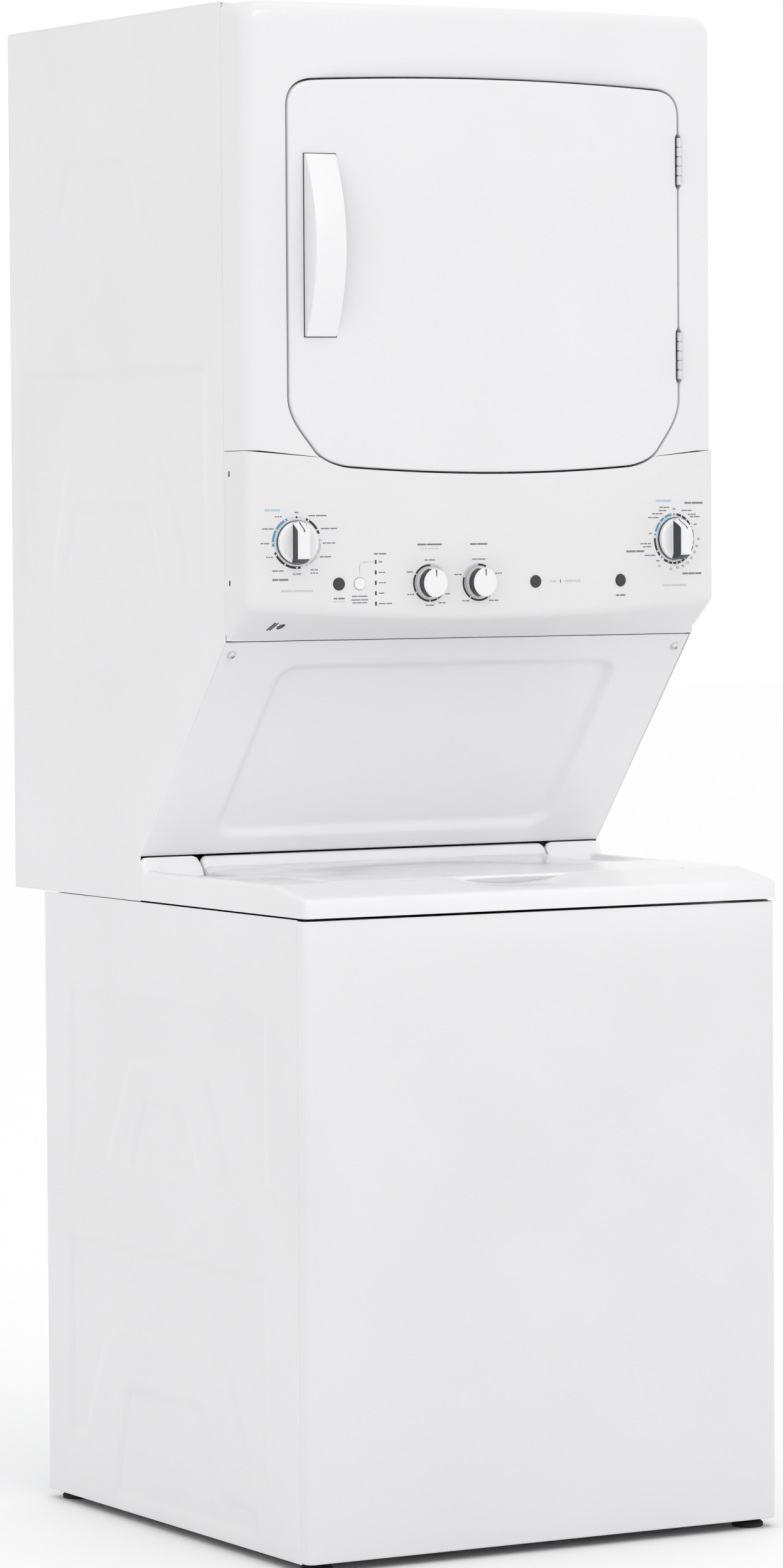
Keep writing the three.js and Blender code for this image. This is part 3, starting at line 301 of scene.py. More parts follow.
def sheet(thickness):
    return ("SOLIDIFY", {"thickness": thickness * MM, "offset": -1})


def cut(tool):
    return ("BOOLEAN", {"operation": "DIFFERENCE", "solver": "EXACT", "object": tool})


def loose(name, shell):
    obj = bpy.data.objects.new(name, shell.mesh(name))
    bpy.context.scene.collection.objects.link(obj)
    return obj


def piece(name, shell, looks, body, replaces=(), modifiers=(), facing=None, angle=30):
    looks = looks if isinstance(looks, (list, tuple)) else [looks]
    obj = bpy.data.objects.new(name, shell.mesh(name, facing))
    bpy.context.scene.collection.objects.link(obj)
    for look in looks:
        obj.data.materials.append(look)
    tools = []
    for kind, settings in modifiers:
        modifier = obj.modifiers.new(kind.lower(), kind)
        for key, value in settings.items():
            setattr(modifier, key, value)
        if kind == "BOOLEAN":
            tools.append(settings["object"])
    if modifiers:
        bpy.context.view_layer.update()
        settle(obj)
    for tool in tools:
        bpy.data.objects.remove(tool)
    sharpen(obj.data, angle)
    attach(obj, body)
    if replaces:
        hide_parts(*replaces)
    return obj


def arc2(cx, cy, radius, start, end, steps):
    t = np.radians(np.linspace(start, end, steps + 1))
    return np.stack([cx + radius * np.cos(t), cy + radius * np.sin(t)], 1)


def bezier(a, c, b, steps):
    t = np.linspace(0, 1, steps + 1)[:, None]
    a, c, b = map(np.asarray, (a, c, b))
    return (1 - t) ** 2 * a + 2 * t * (1 - t) * c + t ** 2 * b


def rounded(half, low, high, radius, steps=8, left=None):
    left = -half if left is None else left
    return np.concatenate([
        arc2(half - radius, low + radius, radius, 270, 360, steps),
        arc2(half - radius, high - radius, radius, 0, 90, steps),
        arc2(left + radius, high - radius, radius, 90, 180, steps),
        arc2(left + radius, low + radius, radius, 180, 270, steps),
    ])


def filleted(profile, radius, steps=3):
    """An open profile whose inner corners are rounded."""
    points = [np.asarray(p, float) for p in profile]
    out = [points[0]]
    for before, here, after in zip(points, points[1:], points[2:]):
        a, b = before - here, after - here
        reach = min(radius, 0.45 * np.linalg.norm(a), 0.45 * np.linalg.norm(b))
        start = here + a / np.linalg.norm(a) * reach
        end = here + b / np.linalg.norm(b) * reach
        out.extend(bezier(start, here, end, steps))
    return out + [points[-1]]


def upright(flat, y):
    """Points (x, z) placed at a depth y."""
    return np.stack([flat[:, 0], np.broadcast_to(y, len(flat)), flat[:, 1]], 1)


def flat_at(flat, z):
    """Points (x, y) placed at a height z."""
    return np.stack([flat[:, 0], flat[:, 1], np.full(len(flat), float(z))], 1)


def block(x0, x1, y0, y1, z0, z1):
    ring = [(x0, y0), (x1, y0), (x1, y1), (x0, y1)]
    return Shell().prism(lambda h: [(x, y, h) for x, y in ring], z0, z1)


def polar(outline, centre):
    """Radius of a closed outline about a centre, as a function of the angle."""
    outline = np.asarray(outline, float)
    step = (np.roll(outline, -1, 0) - outline) / 12
    outline = np.concatenate([outline + step * i for i in range(12)])
    away = outline - centre
    angles = np.arctan2(away[:, 1], away[:, 0])
    order = np.argsort(angles)
    angles, reach = angles[order], np.hypot(*away[order].T)
    angles = np.concatenate([angles - 2 * math.pi, angles, angles + 2 * math.pi])
    reach = np.tile(reach, 3)
    return lambda a: np.interp(a, angles, reach)


def within(y, z, polygon, soft):
    """1 inside a polygon and 0 outside it, easing over a soft band."""
    nearest = np.full(np.shape(y), 1e9)
    inside = np.zeros(np.shape(y), bool)
    for (ay, az), (by, bz) in zip(polygon, polygon[1:] + polygon[:1]):
        dy, dz = by - ay, bz - az
        t = np.clip(((y - ay) * dy + (z - az) * dz) / (dy * dy + dz * dz), 0, 1)
        nearest = np.minimum(nearest, np.hypot(y - ay - t * dy, z - az - t * dz))
        if az != bz:
            crosses = ((az > z) != (bz > z)) & (y < (z - az) * dy / dz + ay)
            inside ^= crosses
    return ease(0.5 + np.where(inside, 1, -1) * nearest / soft)


# ---------------------------------------------------------------- door outline
HINGE_SPANS = ((1711, 1771), (1463.5, 1523.5))
HINGE_X, HINGE_Y = 284.2, -266.5
HINGE_NOTCH = 2.6


def door_outline():
    """The door's edge seen from the front, with extra points where the hinges are."""
    marks = sorted(
        {1796.0, 1440.0} | set(np.linspace(1452, 1784, 30))
        | {v for low, high in HINGE_SPANS for v in (low - 5.5, low - 1.5, high + 1.5, high + 5.5)},
        reverse=True,
    )
    right = np.concatenate([
        bezier((0, 1836), (124, 1836), (249, 1830), 30),
        bezier((249, 1830), (283, 1828), (283, 1796), 10)[1:],
        [(283, z) for z in marks[1:-1]],
        bezier((283, 1440), (283, 1418), (264, 1394), 8),
        bezier((250, 1376), (238, 1359), (205, 1354), 8),
        bezier((205, 1354), (100, 1346), (0, 1346), 24)[1:],
    ])
    left = right[1:-1][::-1] * (-1, 1)
    return np.concatenate([right, left])


def offset(points, distance):
    """A closed outline moved outwards."""
    step = np.roll(points, -1, 0) - points
    step /= np.linalg.norm(step, axis=1)[:, None]
    normal = np.stack([-step[:, 1], step[:, 0]], 1)
    total = normal + np.roll(normal, 1, 0)
    return points + total * (2 * distance / (total ** 2).sum(1))[:, None]


def notch(points, amount):
    """Opens the gap round each hinge, with tapered ends."""
    moved = points.copy()
    on_side = points[:, 0] > 270
    for low, high in HINGE_SPANS:
        beyond = np.maximum(0, np.maximum(low - 1.5 - points[:, 1], points[:, 1] - high - 1.5))
        moved[:, 0] += np.where(on_side, amount * np.clip(1 - beyond / 4, 0, 1), 0)
    return moved


DOOR = door_outline()
OPENING = offset(DOOR, DOOR_GAP)
DOORWAY = rounded(222, 1408, 1788, 70, 14)


def branch(points, upper):
    """Height of the upper or lower run of an outline across x."""
    keep = points[points[:, 1] > 1790] if upper else points[points[:, 1] < 1400]
    keep = keep[np.argsort(keep[:, 0])]
    return lambda x: np.interp(x, keep[:, 0], keep[:, 1])


OPENING_TOP = branch(OPENING, True)
OPENING_LOW = branch(OPENING, False)


# ---------------------------------------------------------------- dryer front panel
ROUND = 17.0
CORNER_ROUND = 24.0
REAR_ROUND = 1.5
MIDDLE = 1600.0


def scoop(x, z):
    """Shallow hollow above the door, deepest at the door's edge."""
    x = np.asarray(x, float)
    span = 27 * np.clip(1 - (x / 268) ** 2, 0.001, 1) ** 0.6
    down = OPENING_TOP(x) + span - z
    fade = ease((268 - np.abs(x)) / 50)
    return np.where(z > 1800, 7.5 * ease(down / (span + 6)) * fade, 0)


def border(lean, sign, radius):
    """Point of the panel's outer outline on a ray, and the way in from it."""
    flat = MIDDLE + HALF * math.tan(lean) if lean < 1.5 else 1e9
    inner = HALF - radius
    crown = TOP - radius
    if flat <= crown:
        return (sign * HALF, flat), (-sign, 0)
    across = (TOP - MIDDLE) / math.tan(max(lean, 1e-6))
    if across <= inner:
        return (sign * across, TOP), (0, -1)
    d = np.array([math.cos(lean), math.sin(lean)])
    c = np.array([inner, crown - MIDDLE])
    t = d @ c + math.sqrt((d @ c) ** 2 - c @ c + radius ** 2)
    hit = t * d
    away = (c - hit) / radius
    return (sign * hit[0], MIDDLE + hit[1]), (sign * away[0], away[1])


def front_panel():
    """Front sheet from the door's opening out to the sides, and in to the doorway.

    Where the console covers it, the sheet round the opening stops at the console's top edge.
    """
    outline = notch(OPENING, HINGE_NOTCH)
    above = outline[:, 1] - console_top(outline[:, 0]) - 0.8
    loop = []
    for i, here in enumerate(outline):
        j = (i + 1) % len(outline)
        loop.append((here, above[i] >= 0))
        if above[i] * above[j] < 0:
            t = above[i] / (above[i] - above[j])
            loop.append((here + t * (outline[j] - here), True))
    flags = [up for _, up in loop]
    start = next(i for i in range(len(loop)) if flags[i] and not flags[i - 1])
    loop = loop[start:] + loop[:start]
    count = sum(up for _, up in loop)
    points = np.array([p for p, _ in loop])
    strip = points[:count]
    bottom = math.atan2(MIDDLE - 1373.8, HALF)
    turn = math.radians(20)
    lowest = math.atan2(MIDDLE - strip[-1][1], abs(strip[-1][0]))
    outer, inward, rear = [], [], []
    for x, z in strip:
        lean = math.atan2(z - MIDDLE, abs(x))
        if lean < -turn:
            lean = -turn + (lean + turn) * (bottom - turn) / (lowest - turn)
        sign = 1 if x >= 0 else -1
        hit, way = border(lean, sign, CORNER_ROUND)
        outer.append(hit)
        inward.append(way)
        rear.append(border(lean, sign, REAR_ROUND)[0])
    outer, inward, rear = np.array(outer), np.array(inward), np.array(rear)
    near = outer + inward * ROUND
    way = near - strip
    way /= np.linalg.norm(way, axis=1)[:, None]

    def row(flat, deep=0.0):
        return upright(flat, front(flat[:, 0]) + scoop(flat[:, 0], flat[:, 1]) + deep)

    rows = [row(strip, 2.0), row(strip + way * 0.6, 0.6), row(strip + way * 2)]
    start = strip + way * 2
    for share in (0.06, 0.12, 0.2, 0.28, 0.36, 0.45, 0.6, 0.8):
        rows.append(row(start + (near - start) * share))
    for phi in np.radians(np.linspace(0, 90, 8)):
        flat = outer + inward * ROUND * (1 - math.sin(phi))
        rows.append(row(flat, ROUND * (1 - math.cos(phi))))
    edge = rows[-1]
    seam = upright(rear, SEAM)
    rows += [edge + (seam - edge) * share for share in (0.3, 0.6, 1)]
    shell = Shell().grid(rows)
    depth = np.where([up for _, up in loop], 2.0, 3.0)
    edge = front(points[:, 0]) + depth
    edge[:count] += scoop(points[:count, 0], points[:count, 1])
    centre = np.array([0, 1598])
    angles = np.arctan2(points[:, 1] - 1598, points[:, 0])
    reach = polar(DOORWAY, centre)(angles)
    ray = np.stack([np.cos(angles), np.sin(angles)], 1)
    inner = centre + ray * reach[:, None]
    toward = -(points - centre) / np.linalg.norm(points - centre, axis=1)[:, None]

    wall = [upright(points, edge), upright(points, (edge + RECESS) / 2),
            upright(points, RECESS - 2.4), upright(points + toward * 0.6, RECESS - 0.6),
            upright(points + toward * 2.4, RECESS)]
    start = points + toward * 2.4
    lip = inner + ray * 1.5
    for share in (0.35, 0.7, 1.0):
        wall.append(upright(start + (lip - start) * share, RECESS))
    wall += [upright(inner + ray * 0.4, RECESS + 0.4), upright(inner, RECESS + 1.2)]
    return shell.grid(wall, round_u=True)


piece("dryer_front_skin", front_panel(), ENAMEL, "root", ["dryer_front_panel"],
      [sheet(1.2)], facing=(0, -1, 0), angle=40)


# ---------------------------------------------------------------- dryer door
def door_skin():
    """Crowned outer panel with a rolled rim."""
    rows = [upright(notch(DOOR, -HINGE_NOTCH), DOOR_BACK)]
    rim = 3.2
    for phi in np.radians(np.linspace(90, 0, 6)):
        flat = notch(offset(DOOR, -rim * (1 - math.sin(phi))), -HINGE_NOTCH)
        rows.append(upright(flat, front(flat[:, 0]) - 1 + rim * (1 - math.cos(phi))))
    flat = rows[-1][:, [0, 2]]
    plain = offset(DOOR, -14)
    hub = np.stack([plain[:, 0] * 0.62, np.full(len(plain), 1596.0)], 1)
    for share in (-0.5, 0, 0.08, 0.2, 0.34, 0.5, 0.68, 0.85, 1):
        p = plain + (hub - plain) * share if share >= 0 else (plain + flat) / 2
        rows.append(upright(p, front(p[:, 0]) - 1))
    return Shell().grid(rows, round_u=True)


piece("dryer_door_skin", door_skin(), ENAMEL, "dryer_door",
      ["dryer_door_panel"], [sheet(1.2)], facing=(0, -1, 0), angle=40)


def liner():
    """Inner door pan: a flat plate with a raised dish that fills the doorway."""
    plate = offset(DOOR, -5.5)
    centre = np.array([0, 1598])
    angles = np.arctan2(plate[:, 1] - 1598, plate[:, 0])
    ray = np.stack([np.cos(angles), np.sin(angles)], 1)
    foot = polar(rounded(214, 1416, 1780, 62, 14), centre)(angles)[:, None] * ray + centre

    rows = [upright(plate, y) for y in (-245.8, -245.0, -244.6)]
    rows += [upright(plate + (foot - plate) * s, -244.4) for s in (0.3, 0.7, 0.97)]
    for s, y in ((1.0, -243.5), (1.002, -236), (0.995, -231.5), (0.98, -229.6), (0.95, -229),
                 (0.86, -229), (0.83, -230.2), (0.8, -233), (0.6, -233.6), (0.3, -234),
                 (0.001, -234)):
        rows.append(upright(centre + (foot - centre) * s, y))
    return Shell().grid(rows, round_u=True)


piece("dryer_door_inner_pan", liner(), ENAMEL, "dryer_door", ["door_liner"],
      [sheet(0.6)], facing=(0, 1, 0), angle=40)
strike = block(-255.2, -250.8, -244.6, -224.4, 1592.4, 1607.6)
piece("door_strike", strike, BRIGHT, "dryer_door", modifiers=[bevel(1.0)])


def seal():
    """Felt ring round the doorway, on the door's inner pan."""
    outer = offset(DOORWAY[::-1], 13)
    inner = offset(DOORWAY[::-1], 5)
    ring = []
    for share, y in ((0, -240.6), (0.12, -242.8), (0.5, -243.8), (0.88, -242.8), (1, -240.6),
                     (0.9, -238.6), (0.1, -238.6)):
        ring.append(upright(outer + (inner - outer) * share, y))
    return Shell().grid(ring, round_u=True, round_v=True)


piece("dryer_door_felt_seal", seal(), GREY, "dryer_door", ["door_seal"])


# ---------------------------------------------------------------- door handle and hinges
def handle_bow(z, depth=0.0):
    return -268 - 6 - 27 * (1 - ((z - 1626.5) / 112.5) ** 2) + depth


def handle():
    """Bowed grip, flat against the door."""
    rows = []
    for z in np.linspace(1514, 1739, 46):
        y = handle_bow(z)
        back = [(-221, float(front(-221)) - 1.3), (-263, float(front(-263)) - 1.3)]
        rows.append([(-263, y + 1.5, z), (-242, y, z), (-221, y + 0.6, z),
                     *((x, y, z) for x, y in back)])
    return Shell().loft(rows)


def handle_pocket():
    """Space for the fingers behind the grip, open to the right."""
    rows = []
    for z in np.linspace(1525, 1728, 30):
        y = handle_bow(z, 5)
        rows.append([(-259, y + 1, z), (-215, y, z), (-215, -258, z), (-259, -258, z)])
    return Shell().loft(rows)


piece("door_pull_handle", handle(), WHITE, "dryer_door", ["door_handle"],
      [bevel(2.2, 4, 40), cut(loose("pocket", handle_pocket()))], angle=35)


def handle_gasket():
    """Thin dark strip between the handle and the door: painted shadow of the gap under the handle.
    """
    ring = [(x, float(front(x)) - lift) for x, lift in
            ((-263.9, 1.9), (-220.1, 1.9), (-220.1, 0.9), (-263.9, 0.9))]
    return Shell().prism(lambda z: [(x, y, z) for x, y in ring], 1512.9, 1740.1)


# dark strip round the handle's foot is painted shadow of the gap between handle and door
piece("door_handle_painted_shadow", handle_gasket(), DARK, "dryer_door",
      modifiers=[bevel(0.3)])


def hinge(span, first):
    low, high = span
    pitch = (high - low) / 5
    shell = Shell()
    for i in range(first, 5, 2):
        z0, z1 = low + pitch * i + 0.2, low + pitch * (i + 1) - 0.2
        shell.turned([(0, z0), (3.2, z0), (3.9, z0 + 0.7), (3.9, z1 - 0.7), (3.2, z1), (0, z1)],
                     (HINGE_X, HINGE_Y, 0), steps=20)
    if first == 0:
        shell.turned([(0, low + 1), (1.8, low + 1), (1.8, high - 1), (0, high - 1)],
                     (HINGE_X, HINGE_Y, 0), steps=16)
        plate = (HINGE_X + 0.2, HINGE_X + 0.9, HINGE_Y + 3.4, RECESS - 2)
    else:
        plate = (HINGE_X - 0.9, HINGE_X - 0.2, HINGE_Y + 3.4, DOOR_BACK - 1.8)
    shell.join(block(*plate, low, high))
    return shell


for label, span in zip(("upper", "lower"), HINGE_SPANS):
    for first, half, body in ((0, "frame", "root"), (1, "door", "dryer_door")):
        piece(f"{label}_hinge_{half}_half", hinge(span, first), BRIGHT, body,
              [f"{label}_hinge_{half}_leaf"], angle=35)


# ---------------------------------------------------------------- control console
def console():
    """Bowed fascia with returns at both ends, and the chin beneath it."""
    shell = Shell()
    fine = np.concatenate([np.linspace(196, 262, 18), np.arange(10, 190, 15), [280, 300, 322]])
    xs = np.sort(np.concatenate([fine, -fine, [0, HALF, -HALF]]))
    chin = np.array([0, 0.34, 0.67, 1])
    top = np.minimum(console_top(xs) + 0.35, np.where(np.abs(xs) < 262, OPENING_LOW(xs), 9999))
    low = console_low(xs)
    side_y = front(HALF) + (SEAM - front(HALF)) * chin
    side_low = 1181 + (CHIN_BACK - 1181) * chin
    columns = [(-HALF, y, 1373.0, z) for y, z in zip(side_y[:0:-1], side_low[:0:-1])]
    columns += list(zip(xs, front(xs), top, low))
    columns += [(HALF, y, 1373.0, z) for y, z in zip(side_y[1:], side_low[1:])]
    rows = []
    for share in (0, 0.2, 0.4, 0.6, 0.8, 1):
        rows.append([(x, y, t + (b - t) * share) for x, y, t, b in columns])
    shell.grid(rows)
    shell.grid([
        [(x, y + (SEAM - y) * g, z + (CHIN_BACK - z) * g) for x, y, z in zip(xs, front(xs), low)]
        for g in chin
    ])
    return shell


def end_fillers():
    """Small plates that close the console's rounded ends against the dryer's sides."""
    shell = Shell()
    for side in (-1, 1):
        x0, x1 = sorted((side * (HALF - 0.8), side * (HALF - 24)))
        shell.join(block(x0, x1, -203.2, -200.9, CHIN_BACK + 0.5, CHIN_BACK + 26))
    return shell


piece("console_end_fillers", end_fillers(), FASCIA, "root",
      modifiers=[bevel(0.3)])


def control_matrix(x, z):
    """Places a part whose Z points out of the console's face."""
    steep = 2 * BULGE * x / HALF ** 2
    out = np.array([steep, -1, 0]) / math.hypot(steep, 1)
    up = np.array([0, 0, 1])
    across = np.cross(up, out)
    move = np.eye(4)
    move[:3, 0], move[:3, 1], move[:3, 2] = across, up, out
    move[:3, 3] = (x, float(front(x)), z)
    return move


holes = Shell()
for name in ("washer_start_button", "deep_rinse_button", "dryer_start_button"):
    drill = Shell().turned([(0, -12), (8.1, -12), (8.1, 8), (0, 8)], steps=32)
    holes.join(drill, control_matrix(*CONTROLS[name]))
piece("console_fascia", console(), FASCIA, "root", ["control_console"],
      [bevel(10, 6, 25), sheet(2.5), cut(loose("button_holes", holes))], facing=(0, -1, 0),
      angle=40)


# ---------------------------------------------------------------- controls
def cycle_dial():
    """Round white dial on a thin dark ring that is painted shadow of the gap under its edge, with a
    tall bar grip that has dark flanks.
    """
    shell = Shell()
    # dark ring just wider than the dial: painted shadow of the gap between the dial and the console
    shell.turned(filleted([(0, 1.4), (BIG + 0.3, 1.4), (BIG + 0.3, 2.6), (0, 2.6)], 0.4),
                 steps=72, tint=1)
    shell.turned(filleted([(0, 2.2), (BIG - 0.6, 2.2), (BIG - 0.6, 7.4), (BIG - 3, 9), (0, 9.3)],
                          1.4, 4), steps=72)
    def crest_height(v):
        return 9 + 17.5 * ease((26.5 - v) / 13.5) - 13 * ease((-19 - v) / 7.5)

    grip, across = Shell(), 11
    rows = []
    for v in np.concatenate([np.linspace(26, 13.5, 8), np.linspace(11, -19, 11),
                             [-20.4, -22, -23.5, -25, -26]]):
        high = float(crest_height(v))
        half = min(9.6, math.sqrt(max(0, 26.6 ** 2 - v * v)))
        crest = half * 0.86
        rows.append([(-half, v, 7), (-half + 0.25, v, 10), (-crest, v, high - 2.2),
                     (-crest + 0.7, v, high - 0.7), (-crest + 2.2, v, high), (0, v, high + 0.35),
                     (crest - 2.2, v, high), (crest - 0.7, v, high - 0.7),
                     (crest, v, high - 2.2), (half - 0.25, v, 10), (half, v, 7)])
    grip.grid(rows, round_u=True)
    for index, face in enumerate(grip.faces):
        highest = max(grip.points[i][1] for i in face)
        if highest <= -20.3 or (index % across in (1, 8) and highest < 24):
            grip.tints[index] = 1
    grip.polygon(rows[0])
    grip.polygon(rows[-1], 1)
    shell.join(grip)
    strip = [[(side, v, float(crest_height(v)) + lift)
              for side, lift in ((-0.7, 0.75), (0.7, 0.75), (0.7, -1), (-0.7, -1))]
             for v in np.linspace(25.4, 13, 9)]
    return shell.join(Shell().loft(strip, 1))


def small_dial():
    """White cap with dark grip walls, on a pale skirt."""
    shell = Shell()
    shell.turned(filleted([(0, 1.3), (SMALL, 1.3), (SMALL - 0.3, 4.4), (SMALL - 1.2, 5.6), (0, 6)],
                          0.8), steps=64, tint=2)
    reach = math.radians(76)

    def waist(angles, radius, height):
        away = np.abs(np.arctan2(np.sin(angles), np.abs(np.cos(angles))))
        return 1 - 0.07 * np.clip(1 - (away / reach) ** 2, 0, 1) * (radius > 10)

    profile = [(0, 5), (18.6, 5), (18.5, 7), (18.2, 13), (17.9, 16.4), (16.6, 17.8), (12, 18.3),
               (0, 18.8)]
    base = len(shell.faces)
    shell.turned(profile, steps=96, swell=waist)
    for index in range(base, len(shell.faces)):
        ring = np.array([shell.points[i] for i in shell.faces[index]])
        middle = ring.mean(0)
        lean = math.atan2(abs(middle[1]), abs(middle[0]))
        if lean < reach and middle[2] < 16.5 and np.ptp(ring[:, 2]) > 1:
            shell.tints[index] = 1
    base = len(shell.faces)
    shell.join(block(-0.5, 0.5, 8.6, 16.8, 17, 18.85))
    for index in range(base, len(shell.faces)):
        shell.tints[index] = 1
    return shell


def push_button():
    profile = filleted([(0, -9), (BUTTON - 0.2, -9), (BUTTON - 0.2, 1.2), (BUTTON - 1.1, 2.3),
                        (BUTTON - 3, 2.1), (0, 1.9)], 0.6)
    return Shell().turned(profile, steps=48)


def placed(shell, name):
    return Shell().join(shell, control_matrix(*CONTROLS[name]))


for name, build, looks, slot in (
    ("washer_cycle_knob", cycle_dial, [WHITE, DARK], "white_plastic"),
    ("dryer_cycle_knob", cycle_dial, [WHITE, DARK], "white_plastic"),
    ("temperature_knob", small_dial, [WHITE, DARK, PALE], "white_plastic"),
    ("load_size_knob", small_dial, [WHITE, DARK, PALE], "white_plastic"),
    ("washer_start_button", push_button, [DARK], "dark_plastic"),
    ("deep_rinse_button", push_button, [WHITE], "white_plastic"),
    ("dryer_start_button", push_button, [DARK], "dark_plastic"),
):
    piece(f"{name}_cap", placed(build(), name), looks, name, [name], angle=35)


# ---------------------------------------------------------------- console printing
class Print(Shell):
    """Thin ink patches that follow the console's curved face."""

    LIFT, SINK = 0.12, 0.3

    def patch(self, flat, lift=0.0, ring=False):
        flat = np.asarray(flat, float)
        y = front(flat[..., 0])
        over = np.stack([flat[..., 0], y - self.LIFT - lift, flat[..., 1]], -1)
        under = np.stack([flat[..., 0], y + self.SINK, flat[..., 1]], -1)
        self.grid(over)
        self.grid(under)
        for a, b in ((over[0], under[0]), (over[-1], under[-1]),
                     (over[:, 0], under[:, 0]), (over[:, -1], under[:, -1])):
            self.grid([a, b])
        return self

    def bar(self, x, z, length, thick=2.2, breaks=()):
        edges = [0, *breaks, 1]
        for a, b in zip(edges, edges[1:]):
            x0 = x - length / 2 + length * a + (0.5 if a else 0)
            x1 = x - length / 2 + length * b - (0.5 if b < 1 else 0)
            self.patch([[(x0, z - thick / 2), (x1, z - thick / 2)],
                        [(x0, z + thick / 2), (x1, z + thick / 2)]])
        return self

    def ring_part(self, cx, cz, radius, width, start, end, lift=0.0):
        steps = max(2, int(abs(end - start) / 4))
        t = np.radians(np.linspace(start, end, steps + 1))
        rows = [np.stack([cx + r * np.sin(t), cz + r * np.cos(t)], 1)
                for r in (radius - width / 2, radius + width / 2)]
        return self.patch(rows, lift)

    def dot(self, cx, cz, radius, lift=0.0):
        t = np.linspace(0, 2 * math.pi, 17)
        rows = [np.stack([cx + r * np.sin(t), cz + r * np.cos(t)], 1) for r in (0.01, radius)]
        return self.patch(rows, lift)

    def dots_at(self, centre, radius, angles, size, lift=0.0):
        for angle in angles:
            a = math.radians(angle)
            self.dot(centre[0] + radius * math.sin(a), centre[1] + radius * math.cos(a), size, lift)
        return self


DARK_INK, BLUE_INK, PALE_INK, FAINT_INK, TEXT_INK, WHITE_INK = (Print() for _ in range(6))
WASH, DRY = CONTROLS["washer_cycle_knob"], CONTROLS["dryer_cycle_knob"]
TEMP, LOAD = CONTROLS["temperature_knob"], CONTROLS["load_size_knob"]
BIG_RING, SMALL_RING = 31.2, 22.3
STROKE, FINE_STROKE = 2.9, 2.4


def arcs(ink, centre, ring, spans, width=STROKE):
    for start, end in spans:
        ink.ring_part(*centre, ring, width, start, end)


arcs(DARK_INK, WASH, BIG_RING, [(23, 70), (171, 247)])
arcs(PALE_INK, WASH, BIG_RING, [(82, 159)])
arcs(BLUE_INK, WASH, BIG_RING, [(261, 337)])
arcs(PALE_INK, WASH, BIG_RING, [(345, 375)], 1.0)
DARK_INK.dots_at(WASH, BIG_RING, [0], 1.3, 0.06)
WHITE_INK.dots_at(WASH, BIG_RING, range(30, 331, 30), 1.15, 0.08)
arcs(BLUE_INK, DRY, BIG_RING, [(287, 352)])
arcs(DARK_INK, DRY, BIG_RING, [(7.5, 55), (69, 212), (228, 272)])
DRY_STOPS = [313, 329, 23, 40, 91, 105, 119, 132, 146, 159, 172, 185, 198, 240]
WHITE_INK.dots_at(DRY, BIG_RING, DRY_STOPS, 1.1, 0.08)
DARK_INK.dots_at(DRY, BIG_RING, [0, 62, 220.5, 280], 1.1)
arcs(DARK_INK, TEMP, SMALL_RING, [(127, 360)], FINE_STROKE)
arcs(PALE_INK, TEMP, SMALL_RING, [(2, 50)], 4)
WHITE_INK.dots_at(TEMP, SMALL_RING, [300, 239, 180, 152], 0.95, 0.08)
DARK_INK.dots_at(TEMP, SMALL_RING, [0, 127], 1.0, 0.06)
arcs(DARK_INK, LOAD, SMALL_RING, [(122, 289), (357, 387)], FINE_STROKE)
arcs(PALE_INK, LOAD, SMALL_RING, [(289, 357)], 4)
WHITE_INK.dots_at(LOAD, SMALL_RING, [289, 214, 144], 0.95, 0.08)
DARK_INK.dots_at(LOAD, SMALL_RING, [0], 1.0, 0.06)

LABELS = (
    (FAINT_INK, WASH, 2.6, ((-32, 40, 20),)),
    (TEXT_INK, WASH, 2.4, ((-22, -46, 21),)),
    (PALE_INK, WASH, 2.6, ((0, -60, 43),)),
    (TEXT_INK, WASH, 1.5, (
        (28, 33, 24), (43, 17, 22), (43, -1, 17), (38, -18, 15), (23, -34, 10), (23, -38, 10),
        (0, -39, 11), (-25, -35, 15), (-36, -18, 9), (-42, -1, 11), (-38, 17, 15), (-24, 32, 9),
        (0, 37, 5))),
    (FAINT_INK, DRY, 2.6, ((-17, 48.5, 25),)),
    (TEXT_INK, DRY, 2.4, ((32, 45.6, 30), (-62.6, -15.6, 28.6), (29, -44.7, 31))),
    (PALE_INK, DRY, 2.6, ((0, -59.5, 39),)),
    (TEXT_INK, DRY, 1.5, (
        (-15.6, 40, 16), (-18.7, 36, 12), (-27, 32, 17), (-33.5, 27, 17), (20.6, 36, 16.5),
        (29, 31, 13), (34, 28, 16), (34.6, 18, 5), (-38.5, 7, 5), (-26.5, -28, 5), (0, 38, 5),
        (-46, -6, 17), (-43.6, -10, 13), (-39, -21, 17))),
    (TEXT_INK, TEMP, 2.2, ((0, 48, 34),)),
    (PALE_INK, TEMP, 1.5, ((0, 43, 26),)),
    (TEXT_INK, TEMP, 1.5, ((0, 28.6, 15), (-28, 14, 8.5), (-27, -14, 9), (0, -28, 12),
                           (17, -25, 10), (25, -14, 7))),
    (TEXT_INK, LOAD, 2.2, ((0, 48, 25),)),
    (TEXT_INK, LOAD, 1.5, ((0, 29, 19), (-30, 10, 10), (28.5, 11, 10), (-19, -23, 10),
                           (21, -23, 14))),
    (TEXT_INK, CONTROLS["washer_start_button"], 2.0, ((0, -18, 15),)),
    (PALE_INK, CONTROLS["washer_start_button"], 1.2, ((0, -22, 17),)),
    (TEXT_INK, CONTROLS["deep_rinse_button"], 1.4, ((0, -15.5, 21), (0, -20, 23),
                                                    (0, -23.5, 20))),
    (TEXT_INK, CONTROLS["dryer_start_button"], 2.0, ((0, -19, 15),)),
    (TEXT_INK, (-163, 1245), 1.8, ((0, 0, 17),)),
    (TEXT_INK, (-165, 0), 1.4, ((2.5, 1235, 5), (4.5, 1222, 9), (4.8, 1209, 9.5),
                                (3.8, 1196, 7.5), (9, 1183, 18))),
    (PALE_INK, (91, 1208), 2.4, ((-6, 0, 10), (24, 0, 24))),
)
